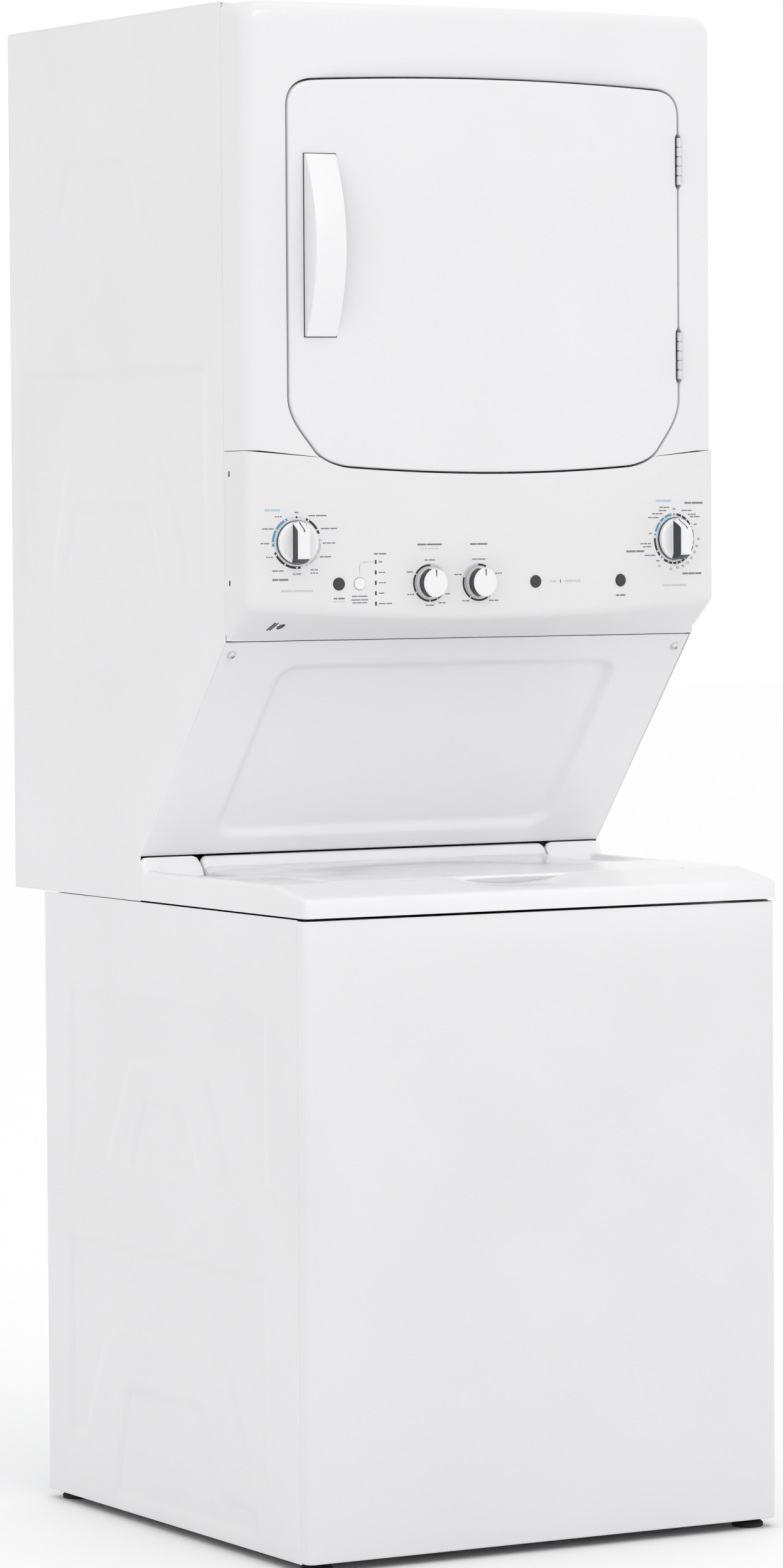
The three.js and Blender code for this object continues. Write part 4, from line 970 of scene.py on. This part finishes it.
for ink, (cx, cz), thick, rows in LABELS:
    for index, (dx, dz, length) in enumerate(rows):
        breaks = () if length < 9 else ((0.38,), (0.55,), (0.3, 0.66))[index % 3]
        ink.bar(cx + dx, cz + dz, length, thick, breaks)
DARK_INK.bar(96.5, 1208, 0.9, 4.5)
LIGHT_ROWS = (1235, 1222, 1209, 1196, 1183)
for z in LIGHT_ROWS:
    DARK_INK.bar(-169, z, 2.2, 5)
PALE_INK.bar(-178.5, 1235, 15, 0.7)
PALE_INK.ring_part(-186, 1230, 5, 0.7, 270, 360)
PALE_INK.bar(-191, 1224, 0.7, 12)


def numbers():
    """The minutes round the dryer dial, as thin raised letters."""
    out = Shell()
    spots = {90: (40, -1), 80: (37, -10), 70: (33.5, -18), 60: (28, -25), 50: (21.5, -31),
             40: (14, -35), 30: (5, -37), 20: (-5.5, -39), 10: (-25, -35)}
    for value, (dx, dz) in spots.items():
        text = bpy.data.curves.new("minutes", "FONT")
        text.body = str(value)
        text.size = 4.6
        text.extrude = 0.2
        text.align_x = "CENTER"
        text.align_y = "CENTER"
        text.resolution_u = 3
        holder = bpy.data.objects.new("minutes", text)
        bpy.context.scene.collection.objects.link(holder)
        bpy.context.view_layer.update()
        flat = bpy.data.meshes.new_from_object(
            holder.evaluated_get(bpy.context.evaluated_depsgraph_get()))
        x = np.array([v.co[:] for v in flat.vertices])
        base = len(out.points)
        xs = DRY[0] + dx + x[:, 0]
        points = np.stack([xs, front(xs) + 0.08 - x[:, 2], DRY[1] + dz + x[:, 1]], 1)
        out.points.extend(points.tolist())
        for face in flat.polygons:
            out.faces.append(tuple(base + i for i in face.vertices))
            out.tints.append(0)
        bpy.data.objects.remove(holder)
        bpy.data.meshes.remove(flat)
        bpy.data.curves.remove(text)
    return out


for label, ink, look in (
    ("dark", DARK_INK, INK_DARK), ("blue", BLUE_INK, INK_BLUE), ("pale", PALE_INK, INK_PALE),
    ("faint", FAINT_INK, INK_FAINT), ("label", TEXT_INK, INK_TEXT), ("white", WHITE_INK, WHITE),
):
    piece(f"console_print_{label}", ink, look, "root")
piece("console_print_minutes", numbers(), INK_TEXT, "root")

badge = Shell().turned(filleted([(0, -0.2), (8, -0.2), (8, 1.0), (7, 1.5), (6.6, 1.1), (0, 1.3)],
                                0.3), steps=48)
piece("blank_round_badge", Shell().join(badge, control_matrix(59, 1208)), DARK, "root")


# small fasteners and marks on the console's sides and chin
def console_marks():
    shell = Shell()
    for side in (-1, 1):
        for z in (1345, 1210):
            ring = rounded(1.6, -3.6, 3.6, 1.5, 5)
            shell.prism(lambda h, z=z, s=side: [(s * h, -213 + a, z + b) for a, b in ring],
                        HALF - 0.4, HALF + 0.35)
    return shell


piece("console_side_clips", console_marks(), DARK, "root", modifiers=[bevel(0.2)])


def chin_marks():
    shell = Shell()
    slope = np.array([SEAM - float(front(-285)), CHIN_BACK - float(console_low(-285))])
    slope /= np.linalg.norm(slope)
    out = np.array([slope[1], -slope[0]])
    start = np.array([float(front(-285)), float(console_low(-285))])

    def spot(x, along, lift):
        y, z = start + slope * along + out * lift
        return x, y, z

    for x0, wide in ((-296, 1.5), (-292, 1), (-269, 1.8)):
        rows = [[spot(x0 + dx, along, lift)
                 for dx, along in ((0, 47), (wide, 47), (wide + 4.5, 30), (4.5, 30))]
                for lift in (-0.4, 0.5)]
        shell.loft(rows)
    turn = np.arange(20) * math.pi / 10
    rows = [[spot(-280 + r * (math.cos(t) - 0.4 * math.sin(t)), 38 + 1.5 * r * math.sin(t), lift)
             for t in turn] for r, lift in ((4.2, -0.4), (4.2, 0.7), (2.4, 1.4))]
    return shell.loft(rows, 1)


piece("console_chin_vents", chin_marks(), [DARK, IRON], "root")


# ---------------------------------------------------------------- side panels
def side_sheet(side, back_y, breaks, relief):
    """Sheet with pressed-in patterns; breaks are (height, front edge) pairs."""
    heights, starts = [], []
    for (z0, y0), (z1, y1) in zip(breaks, breaks[1:]):
        steps = max(2, int(abs(z1 - z0) / 6))
        t = np.arange(steps) / steps
        heights.extend(z0 + (z1 - z0) * t)
        starts.extend(y0 + (y1 - y0) * t)
    heights.append(breaks[-1][0])
    starts.append(breaks[-1][1])
    heights[1] = heights[0] + 1.2
    heights[-2] = heights[-1] - 1.2
    z = np.array(heights)[:, None]
    y0 = np.array(starts)[:, None]
    columns = int((back_y - min(starts)) / 6)
    t = np.linspace(0, 1, columns)[None, :]
    y = y0 + (back_y - y0) * t
    y[:, 1] = y0[:, 0] + 1.2
    y[:, -2] = back_y - 1.2
    z = np.broadcast_to(z, y.shape)
    deep = relief(y, z)
    deep[:, [0, -1]] += 0.7
    deep[[0, -1], :] += 0.7
    return Shell().grid(np.stack([side * (HALF - deep), y, z], -1))


def pressed(y, z, rect, arch, inner, deep=2.4, soft=8):
    """A pressed rectangle with a raised arch in it, and a pressed field inside the arch."""
    field = within(y, z, rect, soft) * (1 - within(y, z, arch, soft))
    return deep * np.maximum(field, within(y, z, inner, soft))


def dryer_relief(y, z):
    rect = [(369, 1479), (-147, 1477), (-148, 1214), (366, 1214)]
    outer = [(238, 1362), (-24, 1361), (-63, 1304), (-118, 1150), (300, 1150)]
    inner = [(214, 1306), (14, 1305), (-4, 1284), (-28, 1213), (236, 1212), (247, 1226)]
    shallow = 1 - 0.5 * ease((y - 325) / 20)  # clear of the rear bulkhead's edge
    low = pressed(y, z, rect, outer, inner) * shallow
    upper = [(231, 1748), (72, 1746), (50, 1730), (18, 1640), (270, 1640)]
    fade = ease((z - 1640) / 60)
    return low + 2.0 * within(y, z, upper, 8) * fade


def washer_relief(y, z):
    first = pressed(
        y, z,
        [(236, 675), (-293, 675), (-295, 461), (239, 461)],
        [(70, 596), (-103, 599), (-138, 581), (-204, 440), (150, 440)],
        [(33, 546), (-68, 546), (-88, 533), (-116, 462), (66, 461), (68, 472)],
    )
    second = pressed(
        y, z,
        [(242, 351), (-290, 351), (-293, 100), (246, 100)],
        [(152, 222), (112, 248), (-138, 251), (-190, 224), (-262, 80), (214, 80)],
        [(83, 172), (-123, 173), (-176, 66), (-260, 61), (-264, 30), (120, 30)],
    )
    return np.maximum(first, second)


DRYER_BREAKS = [(TOP, SIDE_FRONT), (1137, SIDE_FRONT), (859, 37), (DECK_LOW, 37)]
WASHER_BREAKS = [(WASHER_TOP, -379.6), (WASHER_LOW, -379.6)]
for label, side in (("left", -1), ("right", 1)):
    piece(f"dryer_{label}_skin", side_sheet(side, BACK, DRYER_BREAKS, dryer_relief),
          ENAMEL, "root", [f"dryer_{label}_side"], [sheet(1.0)],
          facing=(side, 0, 0))
    piece(f"washer_{label}_skin",
          side_sheet(side, WASHER_BACK, WASHER_BREAKS, washer_relief),
          ENAMEL, "root", [f"washer_{label}_side"], [sheet(1.0)],
          facing=(side, 0, 0))


# ---------------------------------------------------------------- washer front
def washer_front():
    right = np.concatenate([[(HALF, -380)], arc2(HALF - 10, WASHER_FRONT + 10, 10, 0, -90, 8)])
    path = np.concatenate([right, np.stack([np.linspace(300, -300, 25),
                                            np.full(25, WASHER_FRONT)], 1),
                           right[::-1] * (-1, 1)])
    rows = []
    for z, inset in ((WASHER_TOP, 0.5), (WASHER_TOP - 0.5, 0.15), (WASHER_TOP - 1.5, 0),
                     (600, 0), (400, 0), (200, 0), (WASHER_LOW + 3, 0), (WASHER_LOW + 1, 0.3),
                     (WASHER_LOW, 1.2)):
        flat = path.copy()
        flat[:, 1] += inset
        rows.append(np.stack([flat[:, 0] * (1 - inset / HALF), flat[:, 1],
                              np.full(len(flat), float(z))], 1))
    return Shell().grid(rows)


piece("washer_front_skin", washer_front(), ENAMEL, "root",
      ["washer_front_panel"], [sheet(1.0)], facing=(0, -1, 0), angle=40)


# ---------------------------------------------------------------- washer deck and lid
def spread(cuts, step):
    out = []
    for a, b in zip(cuts, cuts[1:]):
        n = max(1, int(round((b - a) / step)))
        out.extend(a + (b - a) * i / n for i in range(n))
    return out + [cuts[-1]]


def tray(x0, x1, y0, y1, xs, ys, height, low, edge, rear, skip=None):
    """A height field with rounded edges, tighter at the rear, and a skirt that ends at low."""
    share = np.sin(np.linspace(math.pi / 2, 0, 6))

    def axis(a, b, inner, last):
        out = [(a, -1.0, True)] + [(a + edge * (1 - s), -s, False) for s in share[:-1]]
        out += [(v, 0.0, False) for v in inner]
        return out + [(b - last * (1 - s), s, False) for s in share[:-1][::-1]] + [(b, 1.0, True)]

    us, vs = axis(x0, x1, xs, edge), axis(y0, y1, ys, rear)
    rows = np.zeros((len(vs), len(us), 3))
    for j, (y, ey, y_skirt) in enumerate(vs):
        for i, (x, ex, x_skirt) in enumerate(us):
            px, py = x, y
            reach2 = ex * ex + min(ey, 0) ** 2
            if ex and ey < 0:
                px = (x1 - edge if ex > 0 else x0 + edge) + edge * ex * math.sqrt(1 - ey * ey / 2)
                py = y0 + edge + edge * ey * math.sqrt(1 - ex * ex / 2)
                reach2 -= ex * ex * ey * ey
            z = height(px, py) - edge * (1 - math.sqrt(max(0, 1 - reach2)))
            if ey > 0:
                z -= rear * (1 - math.sqrt(max(0, 1 - ey * ey)))
            rows[j, i] = (px, py, low(py) if (x_skirt or y_skirt) else z)
    mask = None
    if skip:
        mask = np.zeros((len(vs) - 1, len(us) - 1), bool)
        for j in range(len(vs) - 1):
            for i in range(len(us) - 1):
                mask[j, i] = skip((us[i][0] + us[i + 1][0]) / 2, (vs[j][0] + vs[j + 1][0]) / 2)
    return Shell().grid(rows, skip=mask)


POCKET_X, POCKET_Y = 258.4, -316.5
LEDGE = 828.0


def deck_height(x, y):
    side = abs(x)
    top = float(np.interp(y, [-400, -390, POCKET_Y - 6, POCKET_Y, 22, DECK_REAR],
                          [827, 829, 840.2, 841, 841, 841]))
    if side < 86 and y < POCKET_Y + 1:
        top -= 9.6 * (1 - (side / 86) ** 2) * float(ease((y + 390) / 66))
    if side < POCKET_X - 0.2 and y > POCKET_Y + 0.2:
        return LEDGE
    if y > POCKET_Y:
        dip = 7.5 * float(ease((y + 175) / 190.0)) * float(ease((327 - side) / 7.0))
        top -= dip * (1 if y < 20 else max(0.0, 1 - (y - 20) / 3))
    if y > 21 and side > POCKET_X:
        rise = min(1.0, (y - 21) / 12.0)
        soft = min(1.0, (side - POCKET_X) / 5.0)
        top += 17 * float(ease(rise)) * (0.55 + 0.45 * soft)
    return top


def deck():
    """Washer top with its round opening, lid ledge, finger hollow and hinge bosses."""
    inner_x = sorted(set(
        spread([0, 74, 86], 6) + spread([86, 250], 12) + [250, 258.1, POCKET_X + 0.1, 262, 268]
        + spread([268, 318], 10) + [320, 323, 326, 328, 331]
    ))
    xs = sorted(set([-v for v in inner_x] + inner_x))
    ys = (spread([-391, -344], 6) + spread([-342, -330], 2) + [-327, -322, POCKET_Y - 0.1]
          + [POCKET_Y + 0.4, -309, -300] + spread([-290, 10], 15)
          + [16, 20, 22, 24, 26, 29, 32, 35.4])
    keep = 250, -300, 20
    shell = tray(
        -HALF, HALF, LIP, DECK_REAR, xs, ys, deck_height, lambda y: DECK_LOW, 7, 0.8,
        skip=lambda x, y: abs(x) < keep[0] and keep[1] < y < keep[2],
    )
    ring_x = [x for x in xs if abs(x) <= keep[0]]
    ring_y = [y for y in ys if keep[1] <= y <= keep[2]]
    ring = ([(x, keep[1]) for x in ring_x] + [(keep[0], y) for y in ring_y[1:]]
            + [(x, keep[2]) for x in ring_x[::-1][1:]]
            + [(-keep[0], y) for y in ring_y[::-1][1:-1]])
    ring = np.array(ring, float)
    lean = math.degrees(math.asin(33 / 240))
    opening = arc2(0, -45, 240, 180 - lean, 360 + lean, 60)
    flat_side = np.stack([np.linspace(opening[-1][0], opening[0][0], 40)[1:-1],
                          np.full(38, opening[0][1])], 1)
    outline = np.concatenate([opening, flat_side])
    centre = np.array([0, -130.0])
    angle = np.arctan2(ring[:, 1] - centre[1], ring[:, 0] - centre[0])
    ray = np.stack([np.cos(angle), np.sin(angle)], 1)
    hole = centre + ray * polar(outline, centre)(angle)[:, None]

    rows = [flat_at(ring, LEDGE)]
    rows += [flat_at(ring + (hole + ray * 3 - ring) * s, LEDGE) for s in (0.35, 0.7, 1)]
    rows += [flat_at(hole + ray * 0.8, LEDGE - 0.8), flat_at(hole, LEDGE - 3),
             flat_at(hole, LEDGE - 12)]
    return shell.grid(rows, round_u=True)


piece("washer_deck_skin", deck(), ENAMEL, "root", ["washer_top_cover"],
      [sheet(1.2)], facing=(0, 0, 1), angle=42)


def lid_height(x, y):
    base = float(np.interp(y, [-316, -250, -60, 10, 21, 24, 30, 37],
                           [841.6, 842.6, 845.6, 845, 843.5, 847.4, 855.6, 857.8]))
    rear = float(ease((y + 260) / 200.0)) * float(ease((20 - y) / 10.0) if y > 10 else 1)
    crown = 6.5 * (abs(x - 25) / 270) ** 2
    end = 3.0 * float(ease((abs(x) - 249) / 7.0)) if y > 20 else 0
    return base - rear * crown - end


def lid():
    xs = spread([-250, 250], 14)
    ys = spread([-309, 5], 14) + [10, 14, 17, 20, 22, 24, 26, 28.4, 30.6, 33]
    shell = tray(-256, 256, -315.5, 36.2, xs, ys, lid_height,
                 lambda y: 829.3 + 0.45 * max(0, y - 27), 4, 1.4)
    for side in (-1, 1):
        pin = Shell().turned([(0, 252), (3, 252), (3, 266), (2.4, 266.6), (0, 266.6)], steps=20)
        move = np.array([[0, 0, side, 0], [0, 1, 0, 30], [-side, 0, 0, 838], [0, 0, 0, 1]], float)
        shell.join(pin, move)
    return shell


piece("washer_lid_skin", lid(), ENAMEL, "washer_lid", ["washer_lid"],
      [sheet(1.1)], facing=(0, 0, 1), angle=42)


def finger_grip():
    """Grey lens-shaped strip on the lid's front edge, above the finger recess: painted shade of the
    lid's front edge seen in the recess.
    """
    u = np.linspace(-1, 1, 31)
    arch = 1 - u * u
    x = 3 + 79 * u
    rows = []
    for y in (-316.0, -314.6):
        rows.append(np.concatenate([
            np.stack([x, np.full(31, y), 837 - 6 * arch], 1),
            np.stack([x, np.full(31, y), 837.2 + 1.6 * arch], 1)[::-1]]))
    return Shell().loft(rows)


# grey strip is painted shade on the lid's front edge over the finger recess
piece("lid_front_edge_painted_shade", finger_grip(), GREY, "washer_lid",
      modifiers=[bevel(0.4)])


# ---------------------------------------------------------------- sloping access panel
RUN = np.array([SLOPE_HIGH[0] - SLOPE_LOW[0], SLOPE_HIGH[1] - SLOPE_LOW[1]])
SLOPE_LENGTH = float(np.linalg.norm(RUN))
RUN /= SLOPE_LENGTH


def slope_matrix(x=0.0, s=0.0):
    move = np.eye(4)
    move[:3, 1] = (0, RUN[0], RUN[1])
    move[:3, 2] = (0, -RUN[1], RUN[0])
    move[:3, 3] = (x, SLOPE_LOW[0] + RUN[0] * s, SLOPE_LOW[1] + RUN[1] * s)
    return move


def access_panel():
    half = HALF - 1.4
    xs = np.array([-half, -half + 1] + spread([-half + 6, -268], 10) + spread([-264, -228], 3)
                  + spread([-220, 220], 20) + spread([228, 264], 3) + spread([268, half - 6], 10)
                  + [half - 1, half])
    ss = np.array([0, 1] + spread([5, 17], 4) + spread([20, 50], 3) + spread([58, 300], 18)
                  + spread([303, 333], 3) + spread([337, SLOPE_LENGTH - 5], 8)
                  + [SLOPE_LENGTH - 1, SLOPE_LENGTH])
    x, s = np.meshgrid(xs, ss)
    field = rounded(244, 34, 318, 26, 8).tolist()
    depth = 6 * within(x, s, [tuple(p) for p in field], 17)
    depth[[0, -1], :] += 0.6
    depth[:, [0, -1]] += 0.6
    flat = Shell().grid(np.stack([x, s, -depth], -1))
    return Shell().join(flat, slope_matrix())


piece("sloping_access_skin", access_panel(), ENAMEL, "root", ["access_panel"],
      [sheet(1.1)], facing=(0, -1, 0))


def screw():
    profile = [(0, -8), (2, -8), (2, 0.2), (6, 0.2), (6, 1.0), (4.7, 1.3), (4.6, 2.8), (3.4, 4.0),
               (0, 4.3)]
    return Shell().turned(filleted(profile, 0.4), steps=32)


for label, side in (("left", -1), ("right", 1)):
    place = slope_matrix(side * 325, 343)
    tools = []
    for i, (w, h) in enumerate(((1.2, 5.4), (5.4, 1.2))):
        slot = block(-w / 2, w / 2, -h / 2, h / 2, 2.6, 6)
        tools.append(cut(loose(f"slot_{i}", Shell().join(slot, place))))
    piece(f"access_screw_{label}_head", Shell().join(screw(), place), BRIGHT, "root",
          [f"access_screw_{label}"], tools)


# ---------------------------------------------------------------- washer basket and agitator
TUB_Y = -42.0


def basket():
    """Basket wall with a round hole in each cell, a dished floor and a plain rim."""
    shell = Shell()
    cells, rows = 56, 13
    radius, low, high = 262.0, 240.0, 700.0
    unit = [(-1, -1), (0, -1), (1, -1), (1, 0), (1, 1), (0, 1), (-1, 1), (-1, 0)]
    step = 2 * math.pi / cells
    tall = (high - low) / rows
    for i in range(cells):
        for j in range(rows):
            a0, z0 = (i + 0.5) * step, low + tall * (j + 0.5)
            outer = [(a0 + u * step / 2, z0 + v * tall / 2) for u, v in unit]
            hole = [(a0 + 3.6 / radius * u / math.hypot(u, v), z0 + 3.6 * v / math.hypot(u, v))
                    for u, v in unit]
            ring = [[(radius * math.cos(a), TUB_Y + radius * math.sin(a), z) for a, z in part]
                    for part in (outer, hole)]
            shell.grid(ring, round_u=True)
    ends = [(20, 216), (120, 218), (225, 219), (246, 222), (257, 229), (262, 240)]
    shell.turned(ends, (0, TUB_Y, 0), steps=cells * 2)
    shell.turned([(262, 700), (262, 712), (262, 722)], (0, TUB_Y, 0), steps=cells * 2)
    return shell


def balance_ring():
    profile = [(250, 712), (261, 712), (261.8, 745), (238, 745), (238, 712), (250, 712)]
    return Shell().turned(filleted(profile, 4), (0, TUB_Y, 0), steps=96)


piece("wash_basket_drum", basket(), STAINLESS, "basket", ["wash_basket"],
      [sheet(1.2)], facing=None, angle=40)
piece("wash_basket_balance_ring", balance_ring(), GREY, "basket")


def agitator():
    shell = Shell()

    def flutes(angles, radius, height):
        return 1 + (0.035 * np.cos(6 * angles + height / 60) if 30 < radius < 60 else 0)

    outer = [(150, 221), (150.6, 224), (146, 229), (110, 239), (86, 254), (68, 285), (57, 320)]
    outer += [(57 - 11 * (z - 320) / 320, z) for z in range(340, 641, 20)]
    outer += [(43, 648), (38, 660), (30, 668), (16, 672), (0, 673)]
    inner = [(0, 668), (24, 662), (38, 636), (46, 332), (84, 247), (144, 223), (150, 221)]
    shell.turned(outer + inner, (0, TUB_Y, 0), steps=72, swell=flutes)
    fin = [(44, 500), (60, 470), (76, 420), (96, 330), (120, 262), (146, 228), (90, 240),
           (52, 330)]
    for angle in (45, 135, 225, 315):
        a = math.radians(angle)
        turn = np.array([[math.cos(a), -math.sin(a), 0, 0], [math.sin(a), math.cos(a), 0, TUB_Y],
                         [0, 0, 1, 0], [0, 0, 0, 1]])
        shell.join(Shell().loft([[(x, y, z) for x, z in fin] for y in (-2.6, 2.6)]), turn)
    return shell


piece("agitator_post_and_fins", agitator(), WHITE, "agitator", ["agitator"],
      [bevel(1.2, 3, 50)], angle=40)


def spring(x, y):
    """A closed-coil suspension spring round the foot of a rod."""
    turns, wire, radius, low, high = 9, 1.7, 13.0, 184.0, 288.0
    steps = turns * 20
    rows = []
    for i in range(steps + 1):
        t = i / steps
        a = 2 * math.pi * turns * t
        c = np.array([x + radius * math.cos(a), y + radius * math.sin(a), low + (high - low) * t])
        out = np.array([math.cos(a), math.sin(a), 0])
        rows.append([c + wire * (out * math.cos(b) + np.array([0, 0, 1]) * math.sin(b))
                     for b in np.arange(8) * math.pi / 4])
    return Shell().loft(rows)


for name, sx, sy in (("front_left", -1, -1), ("front_right", 1, -1), ("rear_left", -1, 1),
                     ("rear_right", 1, 1)):
    coil = piece(f"suspension_spring_{name}", spring(sx * 245, TUB_Y + sy * 245), BRIGHT, "root")
    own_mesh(coil)


# ---------------------------------------------------------------- levelling feet
def foot(x, y):
    profile = filleted([(0, 0), (19, 0), (20, 1.5), (20, 4.6), (17, 7.4), (12, 8), (9, 12),
                        (9, 15), (5, 15.5)], 0.8)
    thread = []
    for i in range(14):
        thread += [(5, 16 + i * 2.4), (4.4, 17.2 + i * 2.4)]
    return Shell().turned(profile + thread + [(4.6, 49.5), (0, 50)], (x, y, 0), steps=36)


for name, x, y in (("front_left", -314, -368), ("front_right", 314, -368),
                   ("rear_left", -314, 285), ("rear_right", 314, 285)):
    piece(f"foot_{name}_pad", foot(x, y), RUBBER, f"foot_{name}",
          [f"levelling_foot_{name}"], angle=35)


# ---------------------------------------------------------------- details behind and above
def back_screws():
    shell = Shell()
    spots = [(sx * 330, BACK, z) for sx in (-1, 1) for z in (830, 1010, 1240, 1480, 1720, 1900)]
    spots += [(x, BACK, 1910) for x in (-220, 0, 220)]
    spots += [(sx * 330, WASHER_BACK, z) for sx in (-1, 1) for z in (60, 280, 520, 770)]
    spots += [(x, WASHER_BACK, z) for x in (-180, 0, 180) for z in (30,)]
    for x, y, z in spots:
        profile = [(0, y - 3), (5, y - 3), (5, y + 1.2), (3.4, y + 2.4), (0, y + 2.6)]
        shell.turned(filleted(profile, 0.5), (x, 0, z), axis="y", steps=18)
    return shell


piece("rear_panel_screws", back_screws(), BRIGHT, "root")


def cord_grommet():
    profile = [(11, 396), (15.6, 396), (15.6, 398.6), (19, 398.9), (19.4, 401), (18, 403),
               (12, 403), (11, 401), (11, 396)]
    return Shell().turned(profile, (-230, 0, 900), axis="y", steps=36)


piece("cord_hole_grommet", cord_grommet(), RUBBER, "root")


# ---------------------------------------------------------------- carried-over CAD pieces
def smooth_by_angle(degrees):
    tree = bpy.data.node_groups.new("smooth_by_angle", "GeometryNodeTree")
    for way in ("INPUT", "OUTPUT"):
        tree.interface.new_socket("Geometry", in_out=way, socket_type="NodeSocketGeometry")
    start = tree.nodes.new("NodeGroupInput")
    end = tree.nodes.new("NodeGroupOutput")
    strip = tree.nodes.new("GeometryNodeRemoveAttribute")
    strip.inputs["Name"].default_value = "custom_normal"
    faces = tree.nodes.new("GeometryNodeSetShadeSmooth")
    edges = tree.nodes.new("GeometryNodeSetShadeSmooth")
    faces.domain, edges.domain = "FACE", "EDGE"
    angle = tree.nodes.new("GeometryNodeInputMeshEdgeAngle")
    compare = tree.nodes.new("FunctionNodeCompare")
    compare.data_type, compare.operation = "FLOAT", "LESS_THAN"
    compare.inputs["B"].default_value = math.radians(degrees)
    links = tree.links
    links.new(start.outputs[0], strip.inputs["Geometry"])
    links.new(strip.outputs[0], faces.inputs["Geometry"])
    links.new(faces.outputs[0], edges.inputs["Geometry"])
    links.new(angle.outputs["Unsigned Angle"], compare.inputs["A"])
    links.new(compare.outputs["Result"], edges.inputs["Shade Smooth"])
    links.new(edges.outputs[0], end.inputs[0])
    return tree


SMOOTH = smooth_by_angle(32)
SLOTS = {m["node"]: m["material_slot"] for m in frame["record"].get("subparts", [])
         if "material_slot" in m}
EDGE = {"drum_belt": 0.5, "washer_motor": 1.2, "dryer_motor": 1.2, "drive_pulley": 0.8,
        "blower_housing": 1.0, "lint_duct": 1.0, "water_inlet_valve": 1.5, "washer_timer": 1.5,
        "dryer_timer": 1.5, "door_catch": 0.8}
for name, obj in NODES.items():
    if obj.hide_render:
        continue
    look = SLOT_LOOK.get(SLOTS.get(name), ENAMEL)
    if not obj.data.materials:
        obj.data.materials.append(look)
    for index in range(len(obj.material_slots)):
        obj.material_slots[index].link = "OBJECT"
        obj.material_slots[index].material = look
    weld = obj.modifiers.new("weld", "WELD")
    weld.merge_threshold = 2e-6
    soft = obj.modifiers.new("bevel", "BEVEL")
    soft.width = EDGE.get(name, 0.35) * MM
    soft.segments = 2
    soft.limit_method = "ANGLE"
    soft.angle_limit = math.radians(40)
    obj.modifiers.new("smooth", "NODES").node_group = SMOOTH


# ---------------------------------------------------------------- floor, light and camera
def floor():
    mesh = bpy.data.meshes.new("floor")
    mesh.from_pydata([(-30, -30, 0), (30, -30, 0), (30, 30, 0), (-30, 30, 0)], [], [(0, 1, 2, 3)])
    obj = bpy.data.objects.new("floor", mesh)
    bpy.context.scene.collection.objects.link(obj)
    mesh.materials.append(material("pale_floor", (0.97, 0.97, 0.975), 0.7, tone=0.004))


floor()
world = bpy.data.worlds.new("studio")
bpy.context.scene.world = world
world.use_nodes = True
world.node_tree.nodes["Background"].inputs["Color"].default_value = (1, 1, 1, 1)
world.node_tree.nodes["Background"].inputs["Strength"].default_value = 1.02


def area(name, position, target, size, power, spread=180):
    light = bpy.data.lights.new(name, "AREA")
    light.shape = "RECTANGLE"
    light.size, light.size_y = size
    light.energy = power
    light.spread = math.radians(spread)
    obj = bpy.data.objects.new(name, light)
    bpy.context.scene.collection.objects.link(obj)
    obj.location = position
    aim = Vector(target) - Vector(position)
    obj.rotation_euler = aim.to_track_quat("-Z", "Y").to_euler()


area("front_softbox", (-0.2, -3.6, 3.2), (0, -0.3, 1.75), (1.6, 1.2), 3.1, 75)
area("left_softbox", (-4.5, -1.5, 2.2), (0, 0, 1.0), (2.4, 3.2), 0.6)
area("overhead_softbox", (0, -0.8, 4.6), (0, -0.1, 0.8), (2.6, 2.6), 6.5)
area("slope_fill", (-0.2, -1.3, 1.06), (0, 0.02, 0.89), (0.8, 0.1), 0.2, 22)

# camera solved from the photo's straight edges
TURN, RISE, ROLL = math.radians(-29.5), math.radians(2.64), math.radians(-0.38)
LENS_MM, SENSOR_MM = 140.72, 36
VIEWPOINT = (-3.907, -6.918, 1.310)
back = Vector((math.sin(TURN) * math.cos(RISE), -math.cos(TURN) * math.cos(RISE), math.sin(RISE)))
right = Vector((0, 0, 1)).cross(back).normalized()
up = back.cross(right)
right, up = (math.cos(ROLL) * right + math.sin(ROLL) * up,
             -math.sin(ROLL) * right + math.cos(ROLL) * up)
lens = bpy.data.cameras.new("camera")
lens.sensor_width = SENSOR_MM
lens.lens = LENS_MM
camera = bpy.data.objects.new("camera", lens)
bpy.context.scene.collection.objects.link(camera)
pose = Matrix((right, up, back)).transposed().to_4x4()
pose.translation = VIEWPOINT
camera.matrix_world = pose
bpy.context.scene.camera = camera
bpy.context.scene.view_settings.view_transform = "Standard"
